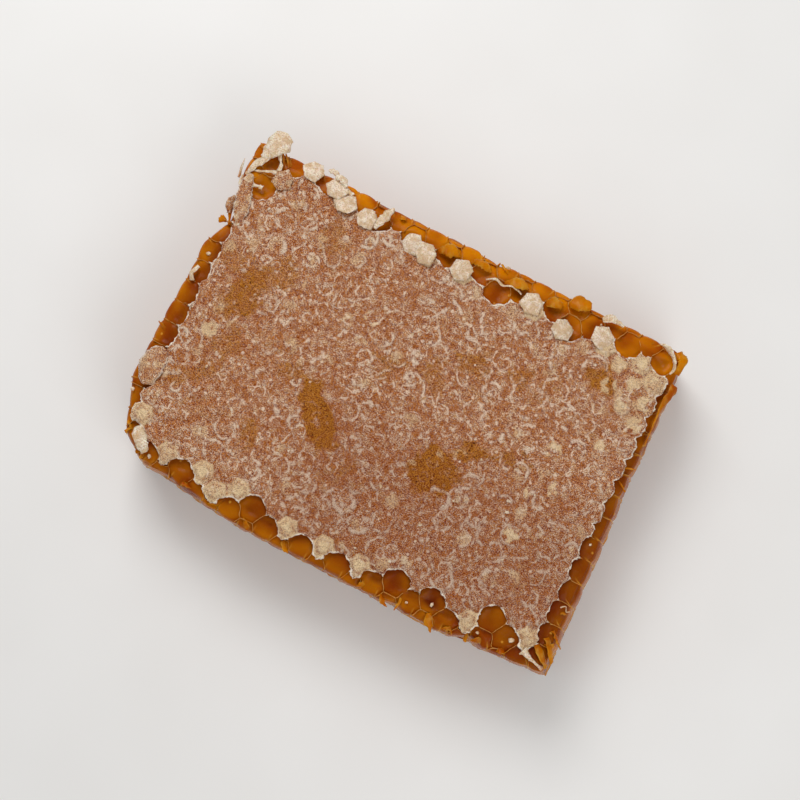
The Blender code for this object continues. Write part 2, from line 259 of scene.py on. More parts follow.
# Rings below the edge of the top skin: inset, drop, and how pale and how amber each is
SKIN_RINGS = [(-0.06, 0.18, 0.8, 0.0), (0.0, 0.6, 0.5, 0.4), (0.25, None, 0.1, 0.9)]
SKIN_FOOT = UPPER_MOUTH + 0.1

# Underside: height of its cells' walls, swell of its edge, and its patches
UNDER_RISE = 0.28
UNDER_RISE_STEP = (0.55, 1.0)
UNDER_EVEN = 0.7
UNDER_LEAST = 0.04
UNDER_SWELL = 0.12
UNDER_SIDE = 0.85
UNDER_CREAM_STEP = (0.3, 0.8)
UNDER_GOLD_MOST = 0.6
UNDER_GOLD_STEP = (0.3, 0.7)

# Kinds of pale marks on the capping: chance in a cell, then ranges of the radius, of the
# sweep in radians and of the width
MARK_KINDS = [(0.52, (1.8, 2.5), (1.0, 4.6), (0.24, 0.6)),
              (0.34, (0.5, 1.3), (1.4, 5.0), (0.18, 0.36)),
              (0.22, (3.2, 6.5), (0.25, 0.7), (0.28, 0.6)),
              (0.5, (0.02, 0.2), (1.0, 2.0), (0.3, 0.9))]
MARK_SMALL = 1.5
MARK_LARGE = 3
MARK_SPREAD = 0.5
SMALL_MARK_SPREAD = 1.6
MARK_SWAY = 0.4
MARK_STRENGTH = (0.35, 1.0)
MARK_MARGIN = 2.0
MARK_LEAST = 0.35
MARK_STEP = (-0.7, 0.4)

# Thin walls that stand round the opened cells
WALL_THICK = 0.2
WALL_STEPS = 12
WALL_FOOT = 22.6
WALL_TOP = (0.1, 0.75)
WALL_RAGGED = 0.42
WALL_INSET = 0.15
# Share of the height and of the thickness at each level of a wall
WALL_PROFILE = [(0.0, 1.0), (0.5, 0.8), (0.85, 0.6), (1.0, 0.3)]
WALL_NOISE = [(1.0, 0.7, 61), (0.6, 0.3, 62)]
WALL_CURL = [(0.35, 1.5, 63)]
SKIRT_CURL = 0.05
WALL_HONEY = 0.9
WALL_CLEARS = 0.75
SKIRT_CLEARS = 0.2
WALL_CLEAR_STEP = (0.5, 1.0)
WALL_LEAST = 0.8
SKIRT_TOP = 25.35
SKIRT_INSET = 0.14

# Loose caps on the top face: lattice x and y, lift off the capping, radius, and two
# tilts in degrees
LOOSE_CAPS = [(-41.3, 75.9, 0.1, 2.5, -5, -4), (-34.8, 74.6, 0.3, 2.7, -8, 10),
              (-31.3, 72.2, 0.4, 2.6, 6, 9), (-25.4, 71.6, 0.1, 2.6, 9, -6),
              (-13.4, 70.9, 0.2, 2.7, -6, 6), (-9.6, 70.2, 0.3, 2.5, 5, -7),
              (-0.6, 70.6, 0.2, 2.7, -5, 5), (17.2, 71.0, 0.2, 2.7, 4, 8),
              (26.0, 68.8, 0.1, 2.7, 8, -6), (35.3, 71.2, 0.3, 2.7, -8, -7),
              (-46.7, 70.6, 0.4, 2.5, 4, 7)]
LOOSE_CAP_THICK = 0.3
LOOSE_CAP_CUP = 0.45
LOOSE_CAP_TURN = 1.1
LOOSE_CAP_RINGS = 11
LOOSE_CAP_SPOKES = 66
ROSY_CAP = 10
LOOSE_CAP_REST = 0.2
LOOSE_CAP_CORNERS = (0.84, 1.12)
LOOSE_CAP_REACH = (0.05, 1.04)
LOOSE_CAP_CURL = (0.2, 0.9)
LOOSE_CAP_EDGE = 1.1
# Frayed edge of a loose cap: depth, number of teeth and seed; then its bumps as ripples
LOOSE_CAP_FRAY = [(0.09, 4, 71), (0.07, 11, 72)]
LOOSE_CAP_BUMPS = [(0.08, 1.1, 73), (0.05, 0.45, 74)]
LOOSE_CAP_SPREAD = 9
LOOSE_CAP_ROSY = 0.15

# Scraps of torn wax as ribbons: for each point of its middle line the lattice x and y,
# height, width and roll in degrees
PALE_SCRAPS = [
    [(-53.6, 73.4, 25.6, 1.6, 20), (-52.9, 75.0, 26.2, 4.2, 15), (-51.9, 76.8, 26.9, 5.6, 5),
     (-50.9, 78.6, 26.9, 5.8, -10), (-49.9, 80.4, 26.4, 2.8, -10)],
    [(-55.4, 68.4, 24.4, 1.4, 30), (-54.6, 70.6, 25.3, 2.6, 35), (-53.0, 73.2, 25.9, 2.2, 20),
     (-51.2, 75.3, 26.2, 1.2, 0)],
    [(-51.2, 76.4, 26.5, 1.8, 0), (-50.0, 75.2, 26.4, 1.1, -20), (-49.0, 74.0, 26.0, 1.0, -10),
     (-48.6, 72.2, 26.0, 1.6, 0)],
    [(-54.8, 69.8, 25.1, 0.8, 0), (-52.6, 70.4, 25.5, 0.6, 20), (-50.6, 71.2, 25.8, 0.8, 0),
     (-48.8, 71.6, 26.0, 1.2, 0)],
    [(-54.6, 65.9, 25.0, 1.2, 20), (-53.2, 66.4, 25.9, 1.5, 30), (-51.8, 66.9, 25.7, 0.9, -10),
     (-50.2, 67.0, 26.1, 1.4, 10)],
    [(-56.0, 67.8, 24.6, 1.0, 60), (-55.3, 66.0, 25.6, 1.8, 50), (-53.9, 64.6, 25.8, 1.4, 30),
     (-52.8, 63.6, 25.6, 0.6, 0)],
    [(-56.9, 67.2, 23.4, 0.9, 20), (-57.0, 69.6, 25.2, 0.7, 30), (-57.1, 71.4, 26.0, 0.2, 30)],
    [(50.6, -0.2, 26.0, 2.6, 0), (52.4, -0.9, 26.0, 1.8, 15), (54.6, -1.6, 25.2, 1.5, 30),
     (56.6, -2.0, 23.8, 1.3, 20)],
    [(54.0, 12.2, 25.4, 0.35, 0), (55.0, 12.9, 25.3, 0.4, 0), (55.7, 11.9, 24.9, 0.35, 0),
     (56.5, 12.3, 24.2, 0.3, 0)],
    [(52.7, 70.9, 25.4, 1.0, 70), (53.0, 72.6, 26.2, 1.6, 60), (51.8, 74.6, 26.6, 1.8, 50),
     (49.6, 76.0, 26.3, 1.4, 50), (47.8, 76.2, 25.8, 0.5, 40)],
    [(-22.7, 70.1, 26.9, 0.7, 0), (-22.3, 72.0, 27.2, 2.5, 12), (-21.6, 74.0, 27.2, 2.6, -8),
     (-20.8, 76.4, 26.8, 0.4, 0)],
    [(-38.4, 77.6, 26.0, 1.0, 10), (-37.0, 77.8, 26.4, 2.0, 25), (-35.4, 77.2, 26.3, 0.6, 0)],
    [(-36.2, 76.8, 26.8, 1.0, 0), (-34.6, 77.0, 27.2, 2.0, 15), (-32.8, 75.8, 27.1, 1.0, 0)],
    [(33.4, 75.0, 26.6, 1.2, 0), (35.4, 76.2, 26.9, 2.2, 15), (38.4, 75.8, 26.6, 1.0, 0)],
    [(-50.2, 5.0, 26.3, 1.8, 0), (-48.8, 3.7, 26.8, 3.3, 10), (-47.2, 2.0, 26.8, 3.2, -10),
     (-45.9, 0.6, 26.3, 1.6, 0)],
    [(-55.0, 40.6, 25.4, 1.4, 20), (-55.6, 42.2, 26.0, 2.0, 30), (-55.0, 44.2, 25.6, 1.2, 10)],
    [(5.4, 71.4, 25.6, 0.9, 60), (7.4, 72.4, 26.1, 1.4, 60), (9.6, 71.9, 25.8, 0.8, 50),
     (11.6, 72.6, 26.2, 1.2, 60), (14.2, 72.0, 25.8, 0.9, 60)]]
AMBER_SCRAPS = [
    [(-50.6, 77.9, 26.2, 0.9, 60), (-48.8, 76.2, 25.6, 0.8, 60), (-47.0, 74.4, 24.8, 1.3, 40)],
    [(-50.2, 77.0, 26.0, 0.5, 40), (-48.9, 75.0, 25.2, 0.6, 40), (-47.9, 73.6, 24.6, 0.7, 20)],
    [(-54.8, 60.0, 24.6, 1.0, 20), (-54.2, 58.0, 24.6, 1.2, 40), (-53.4, 56.0, 24.8, 0.8, 10)],
    [(55.0, 69.0, 25.4, 2.4, 25), (54.8, 66.6, 25.7, 2.6, 40), (54.3, 62.4, 25.5, 1.9, 50),
     (54.5, 58.0, 25.2, 1.3, 50), (54.9, 53.6, 24.8, 0.6, 50)],
    [(52.4, 76.4, 25.0, 2.0, 20), (54.1, 75.0, 25.4, 2.5, 20), (54.2, 71.6, 25.0, 1.8, 30)],
    [(53.0, 2.4, 25.0, 2.6, 50), (55.2, 0.6, 25.2, 3.2, 55), (57.2, -1.2, 23.8, 2.0, 60)],
    [(54.4, 4.8, 24.6, 2.2, 45), (56.2, 2.6, 24.6, 2.8, 55), (58.0, 0.2, 23.4, 1.8, 60)],
    [(55.0, 6.8, 24.4, 1.2, 40), (56.6, 5.2, 24.6, 1.8, 50), (58.4, 3.8, 23.6, 0.5, 60)],
    [(28.0, -2.4, 24.8, 2.0, 10), (29.2, -4.4, 24.5, 2.6, 10), (30.4, -6.2, 23.8, 0.5, 20)],
    [(-8.8, -3.0, 24.6, 1.2, 30), (-7.9, -4.2, 24.5, 1.6, 40), (-6.6, -5.0, 24.0, 0.4, 30)],
    [(16.4, -3.6, 24.6, 1.0, 30), (17.6, -4.9, 24.4, 1.4, 40), (19.0, -5.6, 23.8, 0.3, 30)],
    [(25.2, 74.8, 25.6, 1.6, 0), (26.8, 76.0, 26.3, 4.2, 20), (28.6, 76.4, 26.2, 3.6, 15),
     (30.0, 76.2, 25.8, 1.0, 10)],
    [(-7.4, 72.4, 25.4, 1.2, 20), (-5.8, 73.4, 26.2, 3.6, 25), (-3.9, 73.7, 26.1, 3.4, 15),
     (-2.4, 73.2, 25.5, 0.9, 10)],
    [(0.6, 73.7, 25.2, 1.4, 30), (2.2, 74.2, 26.0, 3.2, 35), (4.2, 74.0, 25.8, 2.6, 25),
     (5.6, 73.5, 25.2, 0.7, 20)],
    [(9.6, 72.7, 25.4, 1.0, 15), (11.5, 73.6, 26.1, 3.3, 20), (13.5, 74.1, 25.9, 3.0, 25),
     (15.0, 73.9, 25.3, 0.8, 20)],
    [(20.2, 72.9, 25.5, 1.4, 20), (21.9, 73.7, 26.1, 3.2, 25), (23.8, 73.6, 25.7, 1.8, 15)]]
ROSY_SCRAPS = [
    [(-55.0, 62.6, 25.2, 1.6, 10), (-55.2, 60.6, 25.6, 2.4, 20), (-54.6, 58.4, 25.2, 1.2, 10)],
    [(-52.6, 14.6, 26.5, 3.0, 0), (-53.4, 17.0, 26.8, 5.6, 5), (-53.6, 19.6, 26.9, 6.2, 0),
     (-53.2, 22.0, 26.7, 5.0, -5), (-52.6, 23.6, 26.4, 2.6, 0)],
    [(-54.0, 68.8, 25.9, 1.4, 10), (-53.8, 66.6, 26.4, 2.8, 15), (-53.2, 64.0, 26.7, 3.6, 10),
     (-52.4, 61.2, 26.8, 4.2, 5), (-51.8, 58.6, 26.7, 3.4, 0), (-51.2, 56.6, 26.4, 1.6, 0)]]
RIBBON_THICK = 0.2
RIBBON_SMOOTH = 10
FRAY = 0.4
FRAY_MOST = 0.7
RIBBON_ACROSS = 7
RIBBON_EDGE = 3
NOTCH_SIZE = 4.5
NOTCH_DEPTH = 2
FRAY_SIZE = 8.0
RIBBON_CUP = 0.25
# Waves of a ribbon: height, and how fast they run along it and across it
RIBBON_WAVE = (0.12, 0.3, 2)
# How much thinner a ribbon is at its sides, and where its side starts and is full
RIBBON_THINS = 0.6
RIBBON_SIDE = (0.6, 1.0)
PALE_SEED = 91
ROSY_SEED = 111
AMBER_SEED = 131
SPLINTER_SEED = 200

# Honey on the low scraps and crumbs: share, and heights where it starts and is full
SCRAP_HONEY = (0.6, 25.4, 24.0)
SCRAP_STAINS = [(0.15, 2.0, 94)]
CRUMB_HONEY = (0.8, 25.4, 24.4)

# Looks of the torn capping and of the amber flakes
ROSY_RIM = 0.6
ROSY_CAP_RIM = 0.2
ROSY_PALE = (0.24, 0.3)
ROSY_WAVES = [(1.0, 1.4, 95)]
ROSY_STEP = (-0.2, 0.5)
AMBER_STREAKS = [(0.7, 0.8, 102)]
AMBER_EDGE = 0.5
AMBER_DEEP = 0.08

# Crumbs and splinters of wax
CRUMBS_ON_TOP = 60
CRUMBS_AT_CUT = 14
CRUMB_SIZE = (0.3, 0.7)
SPLINTERS = 30
SPLINTER_INSET = 1.0
SPLINTER_LENGTH = (1.4, 3.6)
SPLINTER_RISE = (0.0, 0.5)
SPLINTER_LEAN = (-0.3, 0.6)
SPLINTER_WIDTH = (0.5, 1.7)
SPLINTER_HUMP = 0.3
# Share of the width and roll in degrees at the three points of a splinter
SPLINTER_SHAPE = [(1.0, 20), (1.3, 40), (0.4, 60)]
# Chips of wax: tilt, numbers of corners and their shape
CRUMB_TILT = 0.5
CRUMB_CORNERS = (5, 6, 7)
CRUMB_ARMS = (0.6, 1.1)
CRUMB_LONG = (0.9, 1.7)
CRUMB_THICK = (0.16, 0.06)
CRUMB_LEVELS = [(-1, 0.8), (0, 1.0), (1, 0.75)]
CRUMB_HUBS = (-1.1, 1.5)
CRUMB_SPREAD = 2
CRUMB_LIFT = 0.4
CRUMB_ON_TOP_SIZE = 0.6
CRUMB_INSET = 0.4
CRUMB_OUTSET = 0.5

# Cells of the top face with whiter wax
PALE_CAPS = [(-9, 0), (-7, 0), (-6, 0), (-5, 0), (-2, 0), (0, 0), (2, 0), (8, 0), (11, 0),
             (-7, 13), (-2, 13), (0, 13), (4, 13), (8, 13), (10, 13), (11, 12), (-11, 1)]
PALE_SPOTS = [(8, 8), (8, 6), (9, 6), (8, 4), (10, 9), (-3, 9), (-10, 6), (10, 12), (10, 11),
              (11, 11), (11, 10), (9, 12), (9, 11)]

# Patches of golden wax: lattice x and y, reach along the cut and across it, turn in
# degrees and strength
GOLD_PATCHES = [(14.2, 26.6, 5.6, 6.2, -10, 1.15), (20.5, 34.2, 5.4, 2.1, 18, 0.75),
                (29.5, 36.6, 6.4, 1.8, 14, 0.62), (-14.2, 26.0, 3.4, 9.4, 42, 0.9),
                (-23.5, 31.4, 6.0, 1.7, 8, 0.55), (-42.4, 44.4, 5.2, 8.4, -15, 0.68),
                (-35.5, 50.6, 4.0, 4.0, 0, 0.5), (-47.0, 50.0, 3.6, 3.2, 0, 0.45),
                (-40.6, 30.5, 2.3, 6.8, 5, 0.52), (-45.8, 20.8, 7.2, 2.2, 32, 0.52),
                (-26.8, 14.4, 2.2, 4.8, 10, 0.6), (-6.8, 43.8, 5.0, 2.2, 0, 0.5),
                (10.8, 53.0, 5.4, 3.4, 25, 0.58), (4.6, 46.4, 3.0, 5.0, 25, 0.5),
                (22.0, 54.2, 4.4, 3.0, -20, 0.55), (38.9, 62.5, 3.6, 3.6, 0, 0.85),
                (-29.9, 63.8, 2.6, 4.8, 0, 0.45), (-4.2, 18.8, 2.6, 3.0, 0, 0.45)]
GOLD_FADE = (0.6, 1.3)
GOLD_STAIN = 0.3
GOLD_STAIN_STEP = (0.3, 0.8)
GOLD_DEPTH = 0.15
GOLD_HIDES = 0.5

# Painted shade that darkens the capping towards the front right: the steps along x and along y
PAINTED_SHADE_X = (-30.0, 0.0)
PAINTED_SHADE_Y = (-17.0, 8.0)

# Where a whiter film lies over the capping, at the back right corner
FILM_X = (30.0, 46.0)
FILM_Y = (6.0, 30.0)

# Grains of the capping wax: size in millimetres and detail
CAPPING_FINE = (0.23, 2.0)
CAPPING_SPECK = (0.15, 1.0)
CAPPING_DUST = (0.18, 1.0)
CAPPING_MOTTLE = (1.3, 4.0)
CAPPING_BROAD = (8.0, 3.0)
PIT_GRAIN = (0.6, 1.0)
SWAY_GRAIN = (1.5, 2.0)
BREAK_GRAIN = (1.4, 1.0)

# Masks: the limits of a grain, and the amounts at those limits where not 0 and 1
BASE_MASK = (0.44, 0.54)
LIGHT_MOTTLE = (0.48, 0.68, 0.0, 0.6)
LIGHT_FINE = (0.42, 0.52, 0.2, 1.0)
WHITE_DUST = (0.53, 0.62)
WHITE_MOTTLE = (0.37, 0.62, 0.25, 0.9)
WHITE_SPECK = (0.36, 0.52, 0.6, 1.0)
GOLD_EDGE = (0.2, 0.8)
GOLD_FINE = (0.42, 0.56)
GOLD_DUST = (0.54, 0.66, 0.0, 0.3)
GOLD_PITS = (0.65, 0.7)
THREADS_ON_GOLD = (0.2, 0.8, 0.8, 0.15)
MARK_EDGE = (0.26, 0.56)
MARK_COVER = (0.25, 0.85, 0.4, 0.95)
PALE_EDGE = (0.15, 0.5)
PALE_FINE = (0.38, 0.54, 0.45, 1.0)
RIM_EDGE = (0.3, 0.7)
DARK_SPECKS = (0.31, 0.44, 0.9, 0.0)
DARK_ON_PALE = (0.0, 1.0, 1.0, 0.2)
CAPPING_ROUGH = (0.3, 0.7, 0.5, 0.7)
CRISP_GRAIN = (0.3, 0.7, -0.22, 0.22)
BREAK_MASK = (0.44, 0.54)
# Strength of the painted shade towards the front right of the capping
PAINTED_SHADE_TONE = 0.24
CAPPING_GLOSS = 0.1

# Rings of fine wax: size, width, share and least and most radius; then dots: size,
# width and share
THREADS = [(6.5, 0.06, 0.5, 0.2, 0.5), (4.0, 0.07, 0.3, 0.2, 0.42)]
DOTS = (3.0, 0.15, 0.3)
BUBBLES = (3.4, 0.1, 0.12)
BUBBLE_TONE = 0.7
THREAD_SWAY = 2.2
DOT_SWAY = 0.5
THREAD_CORE = 0.3
DOT_CORE = 0.6
CHANCE_STEP = 0.02

# Depths of the bumps in millimetres
SPECK_BUMP = 0.08
FINE_BUMP = 0.18
WHITE_BUMP = 0.04
MOTTLE_BUMP = 0.3
HONEY_BUMPS = (0.08, 0.3)
PALE_BUMPS = (0.12, 0.25)

# Honey and thin wax: grains, masks and how light goes through them
HONEY_BROAD = (6.0, 1.0)
HONEY_FINE = (0.9, 3.0)
HONEY_TONE = (0.35, 0.65)
HONEY_WALL = (0.3, 0.6, 0.5, 0.95)
HONEY_ROUGH = (0.3, 0.7, 0.1, 0.34)
HONEY_IOR = 1.3
HONEY_GLOSS = 0.16
HONEY_THROUGH = (0.3, (1.0, 0.4, 0.05), 2.0)
THIN_FINE = (0.3, 3.0)
THIN_BROAD = (1.4, 3.0)
THIN_TONE = (0.4, 0.6)
THIN_SHADE = (0.48, 0.6, 0.0, 0.75)
THIN_ROSY = (0.36, 0.6, 1.0, 0.2)
THIN_ROUGH = (0.3, 0.7, 0.4, 0.65)
THIN_GLOSS = 0.3
THIN_THROUGH = (0.2, (1.0, 0.5, 0.2), 0.6)

# Floor, camera and lights
FLOOR_HALF = 1500.0
TURN = math.radians(27)
AIM = Vector((0.4, 37.6, HEIGHT))
CAMERA_TILT = math.radians(4.7)
CAMERA_AWAY = 320.4
SENSOR = 36.0
VIEW_WIDTH = 182.4
LIGHTS = [("key", (-220, 260, 420), 260, 1.5), ("fill", (300, -200, 380), 320, 0.7)]
SKY = 0.42
FLOOR_GRAIN = 40.0
FLOOR_ROUGH = 0.7
CLIP_START = 0.01
GAMMA = 2.2


def srgb(red, green, blue):
    """A colour from its screen values, as the shader takes it."""
    return (*[(v / 255) ** GAMMA for v in (red, green, blue)], 1.0)


ROSE = srgb(190, 116, 50)
RUST = srgb(110, 36, 0)
SPECK = srgb(212, 168, 114)
SPARKLE = srgb(248, 234, 214)
CREAM = srgb(236, 213, 188)
IVORY = srgb(234, 207, 162)
SHADE = srgb(186, 150, 112)
GOLD = srgb(192, 124, 36)
DARK_GOLD = srgb(108, 43, 0)
PIT = srgb(72, 34, 14)
AMBER = srgb(206, 122, 3)
DEEP_AMBER = srgb(160, 76, 1)
# Colour of the painted shade on the honey
SHADED_AMBER = srgb(94, 29, 0)
WALL = srgb(208, 146, 56)
AMBER_WAX = srgb(192, 132, 54), srgb(214, 166, 94)
CREAM_WAX = srgb(210, 184, 150), srgb(238, 224, 204)
FLOOR_TONES = srgb(232, 230, 227), srgb(240, 239, 237)


def cell_centre(column, row):
    """Centre of a cell at the top face."""
    x = LATTICE_X + COLUMN * column
    y = LATTICE_Y + ROW * (row + 0.5 * (column % 2))
    return x, y


def hexagon(x, y):
    """Corners of a cell, counter-clockwise."""
    third = COLUMN / 3
    return [(x + 2 * third, y), (x + third, y + HALF_ROW), (x - third, y + HALF_ROW),
            (x - 2 * third, y), (x - third, y - HALF_ROW), (x + third, y - HALF_ROW)]


def beside(column, row, side):
    """The cell across a side, counted from the one between the first two corners."""
    across = (1, 0, -1, -1, 0, 1)[side]
    up = (1, 2, 1, -1, -2, -1)[side]
    double_row = 2 * row + column % 2 + up
    return column + across, (double_row - (column + across) % 2) // 2


def around(run):
    """Each member of a closed run with the one after it."""
    return zip(run, run[1:] + run[:1])


def knife_outline(z, inset=0.0):
    """Outline of the cut at a height, moved inwards by inset."""
    slant = 1 - min(1.0, max(0.0, z / HEIGHT)) ** KNIFE_POWER
    corners = [Vector((LATTICE_X + top[0] + (foot[0] - top[0]) * slant,
                       LATTICE_Y + top[1] + (foot[1] - top[1]) * slant))
               for top, foot in KNIFE]
    moved = []
    for place, corner in enumerate(corners):
        into = (corner - corners[place - 1]).normalized()
        out = (corners[(place + 1) % len(corners)] - corner).normalized()
        inward = Vector((-into.y, into.x))
        bisector = (inward + Vector((-out.y, out.x))).normalized()
        point = corner + bisector * (inset / bisector.dot(inward))
        moved.append((point.x, point.y))
    return moved


def side_of(a, b, point):
    """Positive where a point lies left of the line from a to b."""
    return (b[0] - a[0]) * (point[1] - a[1]) - (b[1] - a[1]) * (point[0] - a[0])


def inside(point, outline):
    """True where a point lies inside a convex outline."""
    return all(side_of(a, b, point) >= 0 for a, b in around(outline))


def wall_marks(a, b, centres):
    """Shares of the way from a to b at which cell walls cross it, from 0 to 1."""
    start, way = Vector(a), Vector(b) - Vector(a)
    length = way.length
    marks = []
    for x, y in centres:
        for p, q in around(hexagon(x, y)):
            side_p = side_of(a, b, p)
            side_q = side_of(a, b, q)
            if side_p * side_q < 0:
                crossing = Vector(p).lerp(Vector(q), side_p / (side_p - side_q))
                marks.append((crossing - start).dot(way) / length ** 2)
    spaced = [0.0]
    for mark in sorted(marks):
        if mark - spaced[-1] > LEAST_ARC / length and 1 - mark > LEAST_ARC / length:
            spaced.append(mark)
    return spaced + [1.0]


def all_cells():
    """Every lattice place that the cut can reach."""
    return [(column, row) for column in range(-LAST_COLUMN - 3, LAST_COLUMN + 4)
            for row in range(-3, LAST_ROW + 4)]


def top_capped_cells():
    """Capped cells of the top face."""
    return [(column, row) for column, row in all_cells()
            if abs(column) <= LAST_COLUMN and 0 <= row <= LAST_ROW
            and (column, row) not in OPEN_AT_FRONT + OPEN_AT_BACK]


def bottom_capped_cells():
    """Whole cells of the underside."""
    foot = knife_outline(0.0)
    cells = []
    for column, row in all_cells():
        x, y = cell_centre(column, row)
        if all(inside(corner, foot) for corner in hexagon(x + LOWER_SHIFT_X, y)):
            cells.append((column, row))
    return cells


def ripple(x, y, size, seed):
    """Smooth noise from -1 to 1, with bumps of a size in millimetres."""
    table = np.random.default_rng(seed).uniform(-1, 1, (NOISE_TABLE, NOISE_TABLE))
    x, y = np.asarray(x) / size + NOISE_START, np.asarray(y) / size + NOISE_START
    column, row = np.floor(x).astype(int), np.floor(y).astype(int)
    right, up = x - column, y - row
    right, up = right * right * (3 - 2 * right), up * up * (3 - 2 * up)
    column, row = column % NOISE_TABLE, row % NOISE_TABLE
    next_column, next_row = (column + 1) % NOISE_TABLE, (row + 1) % NOISE_TABLE
    low = table[column, row] * (1 - right) + table[next_column, row] * right
    high = table[column, next_row] * (1 - right) + table[next_column, next_row] * right
    return low * (1 - up) + high * up


def rough(x, y, bumps):
    """Sum of ripples, each given by its height, size and seed."""
    return sum(height * ripple(x, y, size, seed) for height, size, seed in bumps)


def hill(distance, width):
    """Bell-shaped weight: 1 at no distance, and near 0 from twice the width on."""
    return np.exp(-(distance / width) ** 2)


def smooth(value, low, high):
    """Eased step from 0 at low to 1 at high."""
    t = np.clip((np.asarray(value, float) - low) / (high - low), 0, 1)
    return t * t * (3 - 2 * t)


def wave(x, y):
    """Gentle unevenness of the top face."""
    return WAVE_HEIGHT * np.array([noise.noise((a / WAVE_LENGTH, b / WAVE_LENGTH, SEED))
                                   for a, b in zip(np.ravel(x), np.ravel(y))])


def cell_of(x, y, shift=0.0):
    """Nearest cell of each point as column and row, with 0 at its centre to 1 at its walls."""
    best = np.full(np.shape(x), np.inf)
    column_of, row_of = np.zeros(np.shape(x), int), np.zeros(np.shape(x), int)
    near = np.round((x - shift - LATTICE_X) / COLUMN).astype(int)
    for column in (near - 1, near, near + 1):
        row = np.round((y - LATTICE_Y) / ROW - 0.5 * (column % 2)).astype(int)
        across = np.abs(x - shift - LATTICE_X - COLUMN * column)
        up = np.abs(y - LATTICE_Y - ROW * (row + 0.5 * (column % 2)))
        spread = np.maximum(up / HALF_ROW, across / (2 * COLUMN / 3) + up / ROW)
        closer = spread < best
        best = np.where(closer, spread, best)
        column_of, row_of = np.where(closer, column, column_of), np.where(closer, row, row_of)
    return column_of, row_of, best


def add_piece(name, points, faces, material, slot, nodes=(), **values):
    """A named mesh that rides on the piece, with a value for each point where given."""
    mesh = bpy.data.meshes.new(name)
    mesh.from_pydata((np.asarray(points) * MM).tolist(), [], faces)
    mesh.validate()
    mesh.shade_smooth()
    for key, amounts in values.items():
        attribute = mesh.attributes.new(key, "FLOAT", "POINT")
        attribute.data.foreach_set("value", np.asarray(amounts, np.float32))
    body = bpy.data.objects.new(name, mesh)
    bpy.context.scene.collection.objects.link(body)
    mesh.materials.append(material)
    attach(body, "root")
    if nodes:
        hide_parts(*nodes)


